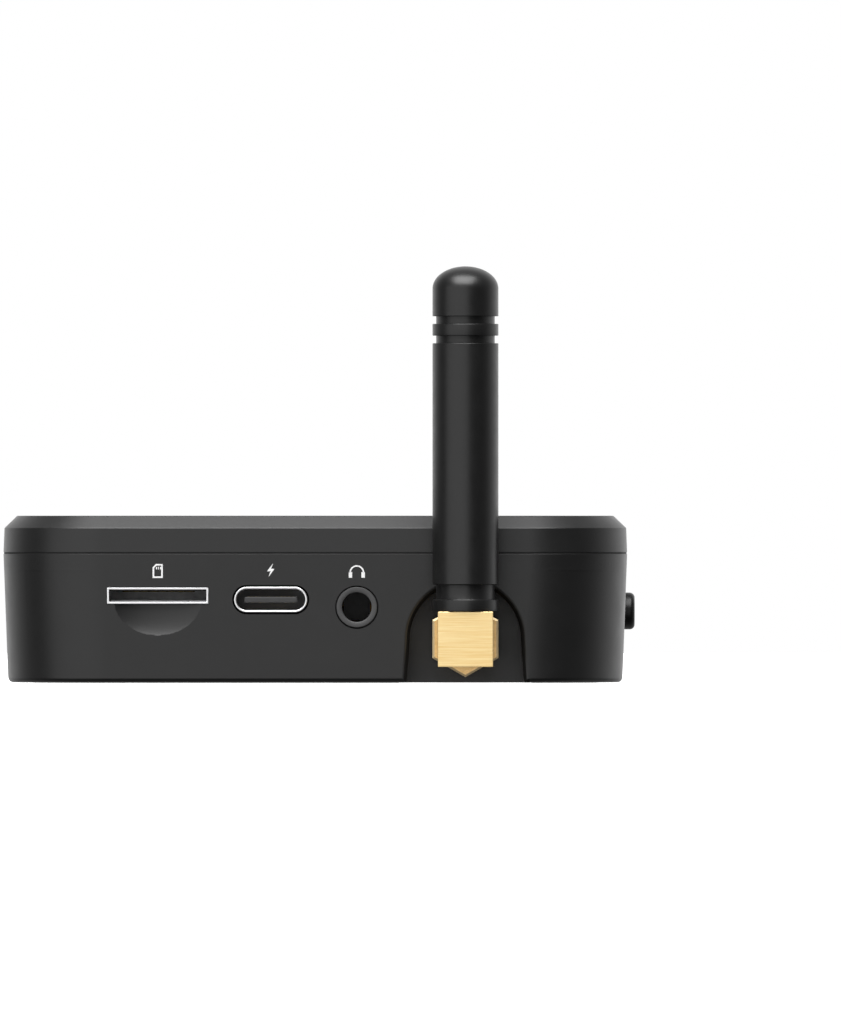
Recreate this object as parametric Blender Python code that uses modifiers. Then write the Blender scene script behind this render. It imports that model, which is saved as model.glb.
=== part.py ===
"""Desktop Bluetooth audio receiver: a flat rounded case with a stub antenna on a right-angle coaxial plug.

Metres, +Z up. The origin is the middle of the mat that the case stands on. The wall with the card slot,
the USB-C port, the audio jack and the antenna faces -Y, and the side button faces +X.
"""

import math

import bmesh
import bpy
from mathutils import Matrix, Vector

mm = 0.001

# ---------------------------------------------------------------- driving sizes
# Case, measured at the parting line, which is its widest level.
CASE_WIDTH = 75.9 * mm
CASE_DEPTH = 75.9 * mm
CASE_HEIGHT = 20.3 * mm
COVER_HEIGHT = 4.64 * mm
WALL = 2.0 * mm
FLOOR = 2.2 * mm
ROOF = 1.8 * mm
CORNER_RADIUS = 12.0 * mm
BASE_DRAFT = 0.57 * mm
COVER_DRAFT = 0.17 * mm
TOP_CHAMFER = 1.5 * mm
BASE_FILLET = 0.5 * mm
SEAM_GAP = 0.2 * mm
LIP_DEPTH = 1.5 * mm
LIP_WALL = 0.9 * mm
FIT = 0.1 * mm  # gap left between a piece and its seat
SLIDE_FIT = 0.15 * mm  # gap round a piece that slides or turns

# Mat under the case.
MAT_THICKNESS = 1.0 * mm
MAT_PROUD = 0.05 * mm
MAT_INSET = 3.0 * mm
MAT_BAY_MARGIN = 1.3 * mm

# Posts, screws and circuit board.
POST_RADIUS = 3.0 * mm
POST_INSET = 7.45 * mm
POST_WEB = 3.0 * mm
BOSS_RADIUS = 2.7 * mm
BOSS_SKIN = 1.0 * mm
SCREW_RADIUS = 1.1 * mm
SCREW_REACH = 9.0 * mm
SCREW_HEAD_RADIUS = 2.2 * mm
SCREW_HEAD_HEIGHT = 1.5 * mm
SCREW_SLOT = 0.7 * mm
BOARD_BELOW_SEAM = 3.91 * mm
BOARD_THICKNESS = 1.2 * mm
BOARD_MARGIN = 0.5 * mm

# Antenna bay: the arched pocket in the port wall.
BAY_FINGER_ROOM = 2.1312 * mm
BAY_WALL = 1.6 * mm
CONNECTOR_GAP = 0.9 * mm

# Coaxial jack in the bay and right-angle plug of the antenna.
NUT_GROUND_GAP = 0.7112 * mm
NUT_FLATS = 8.0 * mm
NUT_LENGTH = 6.6 * mm
NUT_COLLAR = 1.8 * mm
THREAD_RADIUS = 3.12 * mm
THREAD_PITCH = 0.7056 * mm
JACK_FLANGE_RADIUS = 3.85 * mm
JACK_FLANGE = 1.2 * mm
JACK_TAIL_RADIUS = 1.6 * mm
JACK_TAIL = 2.8 * mm
JACK_NUT_FLATS = 8.0 * mm
JACK_NUT_LENGTH = 2.2 * mm
WASHER_THICKNESS = 0.5 * mm
WASHER_RADIUS = 3.9 * mm
SNOUT_RADIUS = 2.25 * mm
SNOUT_BORE = 1.5 * mm
SNOUT_IN_JACK = 1.7 * mm
SOCKET_DEPTH = 1.9 * mm
INSULATOR_RADIUS = 2.0 * mm
CONTACT_RADIUS = 0.68 * mm
PIN_RADIUS = 0.45 * mm
ELBOW_SIZE = 6.7 * mm
SPIGOT_LENGTH = 4.0 * mm
RING_WIDTH = 0.4 * mm
RING_SECTION = 0.75 * mm

# Antenna above the elbow.
SHEATH_RADIUS = 4.0 * mm
SHEATH_LENGTH = 41.82 * mm
SHEATH_CLEARANCE = 0.8 * mm
SHEATH_BORE = 2.5 * mm
SHEATH_CROWN = 3.2 * mm
DOME_HEIGHT = 2.7 * mm
CAP_LENGTH = 6.06 * mm
GROOVE_WIDTH = 0.92 * mm
GROOVE_DEPTH = 0.44 * mm
GROOVE_RING = 1.43 * mm
COLLAR_LENGTH = 1.4 * mm
NECK_LENGTH = 1.83 * mm
COIL_RADIUS = 1.5 * mm
COIL_WIRE = 0.3 * mm
COIL_TURNS = 8

# Card slot.
TF_SOCKET_WIDTH = 15.0 * mm
TF_SOCKET_LENGTH = 14.6 * mm
TF_SOCKET_HEIGHT = 1.9 * mm
TF_AXIS_DROP = 1.15 * mm
TF_SHEET = 0.2 * mm
TF_BASE_THICKNESS = 0.5 * mm
TF_BEZEL_WIDTH = 12.3 * mm
TF_BEZEL_HEIGHT = 1.97 * mm
TF_BEZEL_RIM = 0.3 * mm
TF_BEZEL_DEPTH = 1.6 * mm
TF_CONTACTS = 8
TF_CONTACT_PITCH = 1.1 * mm
TF_SLIDER_WIDTH = 1.15 * mm
TF_SLIDER_LENGTH = 4.6 * mm
TF_SPRING_LENGTH = 5.4 * mm
TF_SPRING_RADIUS = 0.36 * mm
TF_SPRING_WIRE = 0.09 * mm
TF_SPRING_TURNS = 6
SCOOP_WIDTH = 10.8 * mm
SCOOP_DROP = 4.1 * mm
SCOOP_DEPTH = 1.2 * mm

# USB-C port.
USB_WIDTH = 8.94 * mm
USB_HEIGHT = 3.16 * mm
USB_LENGTH = 7.35 * mm
USB_SHEET = 0.3 * mm
USB_TF_GAP = 1.75 * mm
USB_TONGUE_WIDTH = 6.5 * mm
USB_TONGUE_THICKNESS = 0.75 * mm
USB_TONGUE_LENGTH = 4.2 * mm

# 3.5 mm audio jack.
AUX_WIDTH = 6.0 * mm
AUX_HEIGHT = 5.0 * mm
AUX_LENGTH = 11.5 * mm
AUX_BARREL_RADIUS = 2.48 * mm
AUX_BORE_RADIUS = 1.8 * mm
AUX_BAY_GAP = 1.83 * mm
AUX_STRIP = 0.2 * mm
AUX_STRIP_WIDTH = 1.2 * mm
AUX_STRIP_LENGTH = 3.2 * mm

# Side button and the switch behind it.
BUTTON_LENGTH = 11.0 * mm
BUTTON_HEIGHT = 4.5 * mm
BUTTON_PROUD = 1.3 * mm
BUTTON_ROUND = 0.8 * mm
BUTTON_FLANGE = 0.8 * mm
BUTTON_FLANGE_RIM = 0.6 * mm
BUTTON_TRAVEL = 0.3 * mm
BUTTON_NUB_RADIUS = 1.2 * mm
BUTTON_NUB = 0.7 * mm
SWITCH_SIZE = 6.0 * mm
SWITCH_DEPTH = 3.4 * mm
SWITCH_AXIS_DROP = 3.1 * mm
PLUNGER_RADIUS = 1.7 * mm
PLUNGER_REACH = 1.5 * mm
PLUNGER_FLANGE = 0.4 * mm
SWITCH_PLATE = 0.25 * mm
DOME_SHEET = 0.12 * mm
DOME_RISE = 0.35 * mm

# Status light.
LIGHT_PIPE_RADIUS = 1.0 * mm
LIGHT_PIPE_FLANGE = 0.6 * mm
LED_WIDTH = 3.2 * mm
LED_DEPTH = 1.4 * mm
LED_HEIGHT = 1.6 * mm

FINE = 40  # sides of the large turned pieces
MEDIUM = 28
COARSE = 16
CORNER_STEPS = 10

# ---------------------------------------------------------------- levels and places that follow from them
CASE_BASE = MAT_PROUD
FLOOR_TOP = CASE_BASE + FLOOR
SEAM = CASE_HEIGHT - COVER_HEIGHT
BOARD_UNDER = SEAM - BOARD_BELOW_SEAM
BOARD_TOP = BOARD_UNDER + BOARD_THICKNESS
POST_X = CASE_WIDTH / 2 - POST_INSET
POST_Y = CASE_DEPTH / 2 - POST_INSET
POST_TOP = BOARD_UNDER - FIT
SCREW_SEAT = POST_TOP - POST_WEB
NUT_CORNER_RADIUS = NUT_FLATS / math.sqrt(3)
PLUG_AXIS_HEIGHT = NUT_CORNER_RADIUS + NUT_GROUND_GAP
BAY_RADIUS = NUT_CORNER_RADIUS + BAY_FINGER_ROOM
BAY_OUTER_RADIUS = BAY_RADIUS + BAY_WALL
PLUG_X = POST_X - POST_RADIUS - CONNECTOR_GAP - BAY_OUTER_RADIUS
PORT_FACE = -CASE_DEPTH / 2
ANTENNA_Y = PORT_FACE - SHEATH_RADIUS - SHEATH_CLEARANCE
ELBOW_FRONT = ANTENNA_Y - ELBOW_SIZE / 2
ELBOW_BACK = ANTENNA_Y + SHEATH_RADIUS + FIT
NUT_FRONT = ELBOW_BACK + SLIDE_FIT
NUT_BACK = NUT_FRONT + NUT_LENGTH
FLANGE_FRONT = NUT_BACK + 4 * SLIDE_FIT
BAY_BACK = FLANGE_FRONT + JACK_FLANGE
BAY_INSIDE = BAY_BACK + BAY_WALL
JACK_MOUTH = NUT_FRONT + NUT_COLLAR + SLIDE_FIT
SNOUT_TIP = JACK_MOUTH + SNOUT_IN_JACK
WASHER_START = BAY_INSIDE + FIT
JACK_NUT_START = WASHER_START + WASHER_THICKNESS + FIT
JACK_THREAD_END = JACK_NUT_START + JACK_NUT_LENGTH + FIT
JACK_TAIL_END = JACK_THREAD_END + JACK_TAIL
TF_X = -(POST_X - POST_RADIUS - CONNECTOR_GAP - TF_SOCKET_WIDTH / 2)
TF_Z = BOARD_UNDER - TF_AXIS_DROP
USB_X = TF_X + TF_SOCKET_WIDTH / 2 + USB_TF_GAP + USB_WIDTH / 2
USB_Z = BOARD_UNDER - FIT / 2 - USB_HEIGHT / 2
AUX_X = PLUG_X - BAY_OUTER_RADIUS - AUX_BAY_GAP - AUX_WIDTH / 2
AUX_Z = BOARD_UNDER - FIT / 2 - AUX_HEIGHT / 2
BUTTON_Z = BOARD_UNDER - SWITCH_AXIS_DROP
LED_Z = BOARD_UNDER - FIT - LED_HEIGHT / 2

AXIS_Y = (math.radians(-90), 0, 0)  # a turned piece whose +Z end points to +Y
AXIS_Y_FLATS_DOWN = (math.radians(-90), math.radians(30), 0)  # the same for a hexagon on its flat
AXIS_X = (0, math.radians(90), 0)  # a turned piece whose +Z end points to +X
FACING_PORTS = (math.radians(90), 0, 0)  # an outline that stands upright across the port wall
FACING_SIDE = (math.radians(90), 0, math.radians(90))  # an outline that stands upright across the side wall


def wall_inset(z):
    """How far the drafted side of the lower case has come in at height z, against the parting line."""
    return BASE_DRAFT * (SEAM - z) / (SEAM - CASE_BASE)


def outer_half(z):
    """Half the width and half the depth of the lower case at height z."""
    return CASE_WIDTH / 2 - wall_inset(z), CASE_DEPTH / 2 - wall_inset(z)


def port_face_y(z):
    """Y of the port wall's outer face at height z."""
    return -outer_half(z)[1]


def inside_port_wall(z):
    """Y just behind the port wall at height z and below it."""
    return port_face_y(z) + WALL + FIT


# ---------------------------------------------------------------- materials
FINISHES = {
    "case_plastic": ((0.035, 0.035, 0.036), 0.42, 0.0),
    "mat_rubber": ((0.015, 0.015, 0.015), 0.8, 0.0),
    "sheath_rubber": ((0.02, 0.02, 0.021), 0.38, 0.0),
    "gold_plate": ((0.86, 0.62, 0.28), 0.3, 1.0),
    "steel": ((0.62, 0.63, 0.64), 0.3, 1.0),
    "white_insulator": ((0.85, 0.85, 0.82), 0.5, 0.0),
    "black_plastic": ((0.02, 0.02, 0.02), 0.5, 0.0),
    "grey_plastic": ((0.09, 0.09, 0.09), 0.45, 0.0),
    "button_plastic": ((0.012, 0.012, 0.012), 0.25, 0.0),
    "board_laminate": ((0.01, 0.12, 0.05), 0.45, 0.0),
    "chip_resin": ((0.02, 0.02, 0.022), 0.55, 0.0),
    "capacitor_can": ((0.7, 0.7, 0.72), 0.35, 1.0),
    "light_guide": ((0.8, 0.85, 0.9), 0.15, 0.0),
}


def finish(name):
    made = bpy.data.materials.get(name)
    if made is None:
        colour, roughness, metallic = FINISHES[name]
        made = bpy.data.materials.new(name)
        made.use_nodes = True
        shader = made.node_tree.nodes["Principled BSDF"]
        shader.inputs["Base Color"].default_value = (*colour, 1.0)
        shader.inputs["Roughness"].default_value = roughness
        shader.inputs["Metallic"].default_value = metallic
    return made


# ---------------------------------------------------------------- scene and placing
def clear_scene():
    for old in list(bpy.data.objects):
        bpy.data.objects.remove(old)


def new_collection(name):
    made = bpy.data.collections.new(name)
    bpy.context.scene.collection.children.link(made)
    return made


def put(collection, name, data, at, turn):
    made = bpy.data.objects.new(name, data)
    made.location = at
    made.rotation_euler = turn
    collection.objects.link(made)
    return made


def part(name, data, finish_name, at=(0, 0, 0), turn=(0, 0, 0)):
    if isinstance(data, bpy.types.Mesh):
        data.shade_smooth()
        data.set_sharp_from_angle(angle=math.radians(35))
    if not data.materials:
        data.materials.append(finish(finish_name))
    return put(PARTS, name, data, at, turn)


def cutter(name, data, at=(0, 0, 0), turn=(0, 0, 0)):
    made = put(CUTTERS, name, data, at, turn)
    made.hide_render = True
    made.display_type = "WIRE"
    return made


def combine(target, operation, others):
    for other in others:
        step = target.modifiers.new(f"{operation.lower()} {other.name}", "BOOLEAN")
        step.operation = operation
        step.object = other


def cut(target, *others):
    combine(target, "DIFFERENCE", others)


def join(target, *others):
    combine(target, "UNION", others)


def settled_mesh(made):
    """The object's mesh with its modifiers and curve bevel worked out and its doubles welded."""
    bpy.context.view_layer.update()
    mesh = bpy.data.meshes.new_from_object(made.evaluated_get(bpy.context.evaluated_depsgraph_get()))
    bm = bmesh.new()
    bm.from_mesh(mesh)
    bmesh.ops.remove_doubles(bm, verts=bm.verts, dist=0.0005 * mm)
    bm.to_mesh(mesh)
    bm.free()
    bpy.data.objects.remove(made)
    return mesh


# ---------------------------------------------------------------- shapes
def mesh_of(bm, name):
    mesh = bpy.data.meshes.new(name)
    bm.to_mesh(mesh)
    bm.free()
    return mesh


def box(width, depth, height, rounding=0.0):
    """A box standing on its own middle, with its upright edges rounded."""
    bm = bmesh.new()
    bmesh.ops.create_cube(bm, size=1.0)
    bmesh.ops.scale(bm, vec=(width, depth, height), verts=bm.verts)
    if rounding:
        upright = [e for e in bm.edges if abs(e.verts[0].co.z - e.verts[1].co.z) > height / 2]
        bmesh.ops.bevel(bm, geom=upright, offset=rounding, segments=3, profile=0.5, affect="EDGES")
    bmesh.ops.translate(bm, vec=(0, 0, height / 2), verts=bm.verts)
    return mesh_of(bm, "box")


def drafted_block(low_half, high_half, low, high, corner, top_bevel=0.0, base_bevel=0.0):
    """A block with rounded upright corners whose half sizes go from low_half at height low to high_half."""
    bm = bmesh.new()
    bmesh.ops.create_cube(bm, size=2.0)
    for v in bm.verts:
        half = high_half if v.co.z > 0 else low_half
        height = high if v.co.z > 0 else low
        v.co = Vector((v.co.x * half[0], v.co.y * half[1], height))
    upright = [e for e in bm.edges if abs(e.verts[0].co.z - e.verts[1].co.z) > (high - low) / 2]
    bmesh.ops.bevel(bm, geom=upright, offset=corner, segments=CORNER_STEPS, profile=0.5, affect="EDGES")
    for level, width, steps in ((high, top_bevel, 1), (low, base_bevel, 2)):
        if width:
            rim = [e for e in bm.edges if all(abs(v.co.z - level) < 0.001 * mm for v in e.verts)]
            bmesh.ops.bevel(bm, geom=rim, offset=width, segments=steps, profile=0.5, affect="EDGES")
    return mesh_of(bm, "block")


def cylinder(radius, length, sides=COARSE, end_radius=None):
    """A cylinder or cone from z = 0 up to its length. Six sides make a hexagon with a corner along Y."""
    bm = bmesh.new()
    top = radius if end_radius is None else end_radius
    bmesh.ops.create_cone(bm, cap_ends=True, segments=sides, radius1=radius, radius2=top, depth=length)
    bmesh.ops.translate(bm, vec=(0, 0, length / 2), verts=bm.verts)
    return mesh_of(bm, "cylinder")


def half_ellipsoid(half_sizes, rings):
    """The lower half of an ellipsoid, flat on top at z = 0."""
    bm = bmesh.new()
    bmesh.ops.create_uvsphere(bm, u_segments=2 * rings, v_segments=rings, radius=1.0)
    everything = bm.verts[:] + bm.edges[:] + bm.faces[:]
    sliced = bmesh.ops.bisect_plane(bm, geom=everything, plane_no=(0, 0, 1), clear_outer=True)
    rim = [edge for edge in sliced["geom_cut"] if isinstance(edge, bmesh.types.BMEdge)]
    bmesh.ops.contextual_create(bm, geom=rim)
    bmesh.ops.scale(bm, vec=half_sizes, verts=bm.verts)
    bmesh.ops.recalc_face_normals(bm, faces=bm.faces)
    return mesh_of(bm, "half_ellipsoid")


def outline_solid(points, thickness):
    """A flat outline in X and Y, made as thick as asked and centred on z = 0."""
    curve = bpy.data.curves.new("outline", "CURVE")
    curve.dimensions = "2D"
    curve.fill_mode = "BOTH"
    curve.extrude = thickness / 2
    spline = curve.splines.new("POLY")
    spline.points.add(len(points) - 1)
    for point, (x, y) in zip(spline.points, points):
        point.co = (x, y, 0, 1)
    spline.use_cyclic_u = True
    return settled_mesh(put(CUTTERS, "outline", curve, (0, 0, 0), (0, 0, 0)))


def arc(centre_x, centre_y, radius, start, end, steps):
    """Points along a circle's arc between two angles in degrees."""
    angles = [math.radians(start + (end - start) * i / steps) for i in range(steps + 1)]
    return [(centre_x + radius * math.cos(a), centre_y + radius * math.sin(a)) for a in angles]


def pill(width, height, steps=10):
    """Outline of a slot with round ends, lying along X."""
    reach = (width - height) / 2
    return arc(reach, 0, height / 2, -90, 90, steps) + arc(-reach, 0, height / 2, 90, 270, steps)


def arch(radius, drop, steps=24):
    """Outline of a round arch whose legs run down by drop below its centre."""
    return arc(0, 0, radius, 0, 180, steps) + [(-radius, -drop), (radius, -drop)]


def turned(profile, sides, closed=False):
    """A mesh turned about Z. The profile is (radius, z) down the outer side; closed joins it to a ring."""
    bm = bmesh.new()
    verts = [bm.verts.new((radius, 0, z)) for radius, z in profile]
    for a, b in zip(verts, verts[1:]):
        bm.edges.new((a, b))
    if closed:
        bm.edges.new((verts[-1], verts[0]))
    made = put(CUTTERS, "profile", mesh_of(bm, "profile"), (0, 0, 0), (0, 0, 0))
    screw = made.modifiers.new("turn", "SCREW")
    screw.steps = screw.render_steps = sides
    screw.use_merge_vertices = True
    screw.merge_threshold = 0.001 * mm
    return settled_mesh(made)


def tube(outer, inner, low, high, sides):
    """A plain ring between two heights."""
    return turned([(outer, high), (outer, low), (inner, low), (inner, high)], sides, closed=True)


def wire(name, points, radius, finish_name, resolution=2):
    """A round wire through the points, with flat ends."""
    curve = bpy.data.curves.new(name, "CURVE")
    curve.dimensions = "3D"
    curve.bevel_depth = radius
    curve.bevel_resolution = resolution
    curve.use_fill_caps = True
    spline = curve.splines.new("POLY")
    spline.points.add(len(points) - 1)
    for point, place in zip(spline.points, points):
        point.co = (*place, 1)
    return part(name, curve, finish_name)


def helix(centre, radius, start, end, turns, steps_a_turn, along):
    """Points of a coil about a line through centre, between two places along Y or Z."""
    count = turns * steps_a_turn
    points = []
    for i in range(count + 1):
        angle = 2 * math.pi * i / steps_a_turn
        reach = start + (end - start) * i / count
        across = radius * math.cos(angle)
        aside = radius * math.sin(angle)
        if along == "Z":
            points.append((centre[0] + across, centre[1] + aside, reach))
        else:
            points.append((centre[0] + across, reach, centre[1] + aside))
    return points


def smooth_path(points, steps):
    """Points along a smooth curve through the given ones."""
    ends = [points[0]] + points + [points[-1]]
    path = []
    for before, a, b, after in zip(ends, ends[1:], ends[2:], ends[3:]):
        p0, p1, p2, p3 = (Vector(p) for p in (before, a, b, after))
        for i in range(steps):
            t = i / steps
            path.append(
                0.5 * (2 * p1 + (p2 - p0) * t + (2 * p0 - 5 * p1 + 4 * p2 - p3) * t**2
                       + (3 * p1 - p0 - 3 * p2 + p3) * t**3)
            )
    return path + [Vector(points[-1])]


# ---------------------------------------------------------------- case
def post_places():
    return [(x, y) for x in (-POST_X, POST_X) for y in (-POST_Y, POST_Y)]


def bay_prism(name, radius, front, back, drop):
    """The arched space round the antenna plug, or the wall round that space, from front to back."""
    return cutter(name, outline_solid(arch(radius, drop), back - front),
                  (PLUG_X, (front + back) / 2, PLUG_AXIS_HEIGHT), FACING_PORTS)


def mat_block(name, grow, low, high, maker):
    """The mat, or the recess that it lies in: a rounded sheet with a notch round the bay."""
    half = CASE_WIDTH / 2 - BASE_DRAFT - MAT_INSET + grow, CASE_DEPTH / 2 - BASE_DRAFT - MAT_INSET + grow
    made = maker(name, drafted_block(half, half, low, high, CORNER_RADIUS - MAT_INSET))
    notch_half = BAY_RADIUS + MAT_BAY_MARGIN - grow
    notch_back = JACK_THREAD_END + MAT_BAY_MARGIN - grow
    notch_front = PORT_FACE - MAT_INSET
    notch = cutter(f"{name}_notch", box(2 * notch_half, notch_back - notch_front, 4 * MAT_THICKNESS),
                   (PLUG_X, (notch_back + notch_front) / 2, -MAT_THICKNESS))
    cut(made, notch)
    return made


def bottom_case():
    shell = part("bottom_case", drafted_block(outer_half(CASE_BASE), outer_half(SEAM), CASE_BASE, SEAM,
                                              CORNER_RADIUS, base_bevel=BASE_FILLET), "case_plastic")
    above = SEAM + WALL
    low_half = [half - WALL for half in outer_half(FLOOR_TOP)]
    high_half = [half - WALL for half in outer_half(above)]
    cut(shell, cutter("cavity", drafted_block(low_half, high_half, FLOOR_TOP, above, CORNER_RADIUS - WALL)))

    floor_middle = CASE_BASE + FLOOR / 2
    join(shell, bay_prism("bay_wall", BAY_OUTER_RADIUS, PORT_FACE + WALL * 0.6, BAY_INSIDE,
                          PLUG_AXIS_HEIGHT - floor_middle))
    for i, (x, y) in enumerate(post_places(), 1):
        join(shell, cutter(f"post_{i}", cylinder(POST_RADIUS, POST_TOP - floor_middle), (x, y, floor_middle)))

    cut(shell, bay_prism("bay_space", BAY_RADIUS, PORT_FACE - WALL, BAY_BACK, 2 * PLUG_AXIS_HEIGHT))
    cut(shell, cutter("jack_hole", cylinder(THREAD_RADIUS + FIT, 3 * BAY_WALL, MEDIUM),
                      (PLUG_X, BAY_BACK - BAY_WALL, PLUG_AXIS_HEIGHT), AXIS_Y))
    pocket_depth = JACK_THREAD_END - BAY_INSIDE + 5 * FIT
    cut(shell, cutter("jack_nut_pocket", box(JACK_NUT_FLATS + 2 * SLIDE_FIT, pocket_depth, FLOOR),
                      (PLUG_X, BAY_INSIDE + pocket_depth / 2, PLUG_AXIS_HEIGHT - JACK_NUT_FLATS / 2 - SLIDE_FIT)))
    for opening in port_openings():
        cut(shell, opening)
    cut(shell, cutter("finger_scoop", half_ellipsoid((SCOOP_WIDTH / 2, SCOOP_DEPTH, SCOOP_DROP), 14),
                      (TF_X, port_face_y(TF_Z), TF_Z - TF_BEZEL_HEIGHT / 2)))
    cut(shell, cutter("button_hole", outline_solid(pill(BUTTON_LENGTH + 2 * SLIDE_FIT,
                                                        BUTTON_HEIGHT + 2 * SLIDE_FIT), 4 * WALL),
                      (outer_half(BUTTON_Z)[0], 0, BUTTON_Z), FACING_SIDE))
    cut(shell, cutter("light_hole", cylinder(LIGHT_PIPE_RADIUS + FIT, 4 * WALL),
                      (0, outer_half(LED_Z)[1] - 2 * WALL, LED_Z), AXIS_Y))
    cut(shell, mat_block("mat_recess", FIT, CASE_BASE - MAT_THICKNESS, MAT_THICKNESS + FIT, cutter))
    for i, (x, y) in enumerate(post_places(), 1):
        cut(shell, cutter(f"head_hole_{i}", cylinder(SCREW_HEAD_RADIUS + FIT, SCREW_SEAT), (x, y, 0)))
        cut(shell, cutter(f"shank_hole_{i}", cylinder(SCREW_RADIUS + FIT, 2 * POST_TOP), (x, y, 0)))


def port_openings():
    """Cutters for the holes of the card slot, the USB-C port and the audio jack in the port wall."""
    slot = cutter("slot_hole", box(TF_BEZEL_WIDTH + FIT, 4 * WALL, TF_BEZEL_HEIGHT + FIT),
                  (TF_X, PORT_FACE, TF_Z - (TF_BEZEL_HEIGHT + FIT) / 2))
    usb = cutter("usb_hole", outline_solid(pill(USB_WIDTH + 4 * FIT, USB_HEIGHT + 4 * FIT), 4 * WALL),
                 (USB_X, PORT_FACE, USB_Z), FACING_PORTS)
    aux = cutter("aux_hole", cylinder(AUX_BARREL_RADIUS + SLIDE_FIT, 4 * WALL, MEDIUM),
                 (AUX_X, PORT_FACE - 2 * WALL, AUX_Z), AXIS_Y)
    return slot, usb, aux


def top_cover():
    low = SEAM + SEAM_GAP
    low_half = CASE_WIDTH / 2, CASE_DEPTH / 2
    high_half = CASE_WIDTH / 2 - COVER_DRAFT, CASE_DEPTH / 2 - COVER_DRAFT
    cover = part("top_cover", drafted_block(low_half, high_half, low, CASE_HEIGHT, CORNER_RADIUS,
                                            top_bevel=TOP_CHAMFER), "case_plastic")
    lip_inset = WALL + SLIDE_FIT
    lip_half = [half - lip_inset for half in outer_half(SEAM - LIP_DEPTH)]
    join(cover, cutter("lip", drafted_block(lip_half, lip_half, SEAM - LIP_DEPTH, CASE_HEIGHT - ROOF,
                                            CORNER_RADIUS - lip_inset)))
    cut(cover, bay_prism("lip_relief", BAY_OUTER_RADIUS + FIT, PORT_FACE, BAY_INSIDE + FIT, PLUG_AXIS_HEIGHT))
    hollow_half = [half - LIP_WALL for half in lip_half]
    cut(cover, cutter("cover_hollow", drafted_block(hollow_half, hollow_half, SEAM - 2 * LIP_DEPTH,
                                                    CASE_HEIGHT - ROOF, CORNER_RADIUS - lip_inset - LIP_WALL)))
    boss_foot = BOARD_TOP + FIT
    roof_middle = CASE_HEIGHT - ROOF / 2
    for i, (x, y) in enumerate(post_places(), 1):
        join(cover, cutter(f"boss_{i}", cylinder(BOSS_RADIUS, roof_middle - boss_foot), (x, y, boss_foot)))
        depth = CASE_HEIGHT - BOSS_SKIN - boss_foot
        cut(cover, cutter(f"pilot_{i}", cylinder(SCREW_RADIUS + FIT / 2, 2 * depth), (x, y, boss_foot - depth)))


def case_screws():
    """Four screws, heads down, that go up through the posts and the board into the cover's bosses."""
    seat = SCREW_SEAT - FIT / 2
    tip = seat + SCREW_REACH
    head = seat - SCREW_HEAD_HEIGHT
    profile = [(0, tip), (SCREW_RADIUS * 0.4, tip), (SCREW_RADIUS, tip - SCREW_RADIUS), (SCREW_RADIUS, seat),
               (SCREW_HEAD_RADIUS, seat), (SCREW_HEAD_RADIUS, head + SCREW_HEAD_HEIGHT / 3),
               (SCREW_HEAD_RADIUS * 0.8, head), (0, head)]
    blank = put(CUTTERS, "screw_blank", turned(profile, COARSE), (0, 0, 0), (0, 0, 0))
    slot_length = 1.3 * SCREW_HEAD_RADIUS
    for i, turn in enumerate((0, math.radians(90))):
        cut(blank, cutter(f"screw_slot_{i}", box(slot_length, SCREW_SLOT, SCREW_HEAD_HEIGHT),
                          (0, 0, head - SCREW_HEAD_HEIGHT / 3), (0, 0, turn)))
    shared = settled_mesh(blank)
    for i, (x, y) in enumerate(post_places(), 1):
        part(f"case_screw_{i}", shared, "steel", (x, y, 0))


def circuit_board():
    half = [h - WALL - BOARD_MARGIN for h in outer_half(BOARD_UNDER)]
    board = part("circuit_board", drafted_block(half, half, BOARD_UNDER, BOARD_TOP,
                                                CORNER_RADIUS - WALL - BOARD_MARGIN), "board_laminate")
    notch_width = 2 * (BAY_OUTER_RADIUS + BOARD_MARGIN)
    notch_depth = BAY_INSIDE + BOARD_MARGIN - PORT_FACE
    cut(board, cutter("board_notch", box(notch_width, notch_depth, 3 * BOARD_THICKNESS),
                      (PLUG_X, PORT_FACE + notch_depth / 2, BOARD_UNDER - BOARD_THICKNESS)))
    for i, (x, y) in enumerate(post_places(), 1):
        cut(board, cutter(f"board_hole_{i}", cylinder(SCREW_RADIUS + 2 * FIT, 3 * BOARD_THICKNESS),
                          (x, y, BOARD_UNDER - BOARD_THICKNESS)))


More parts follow.
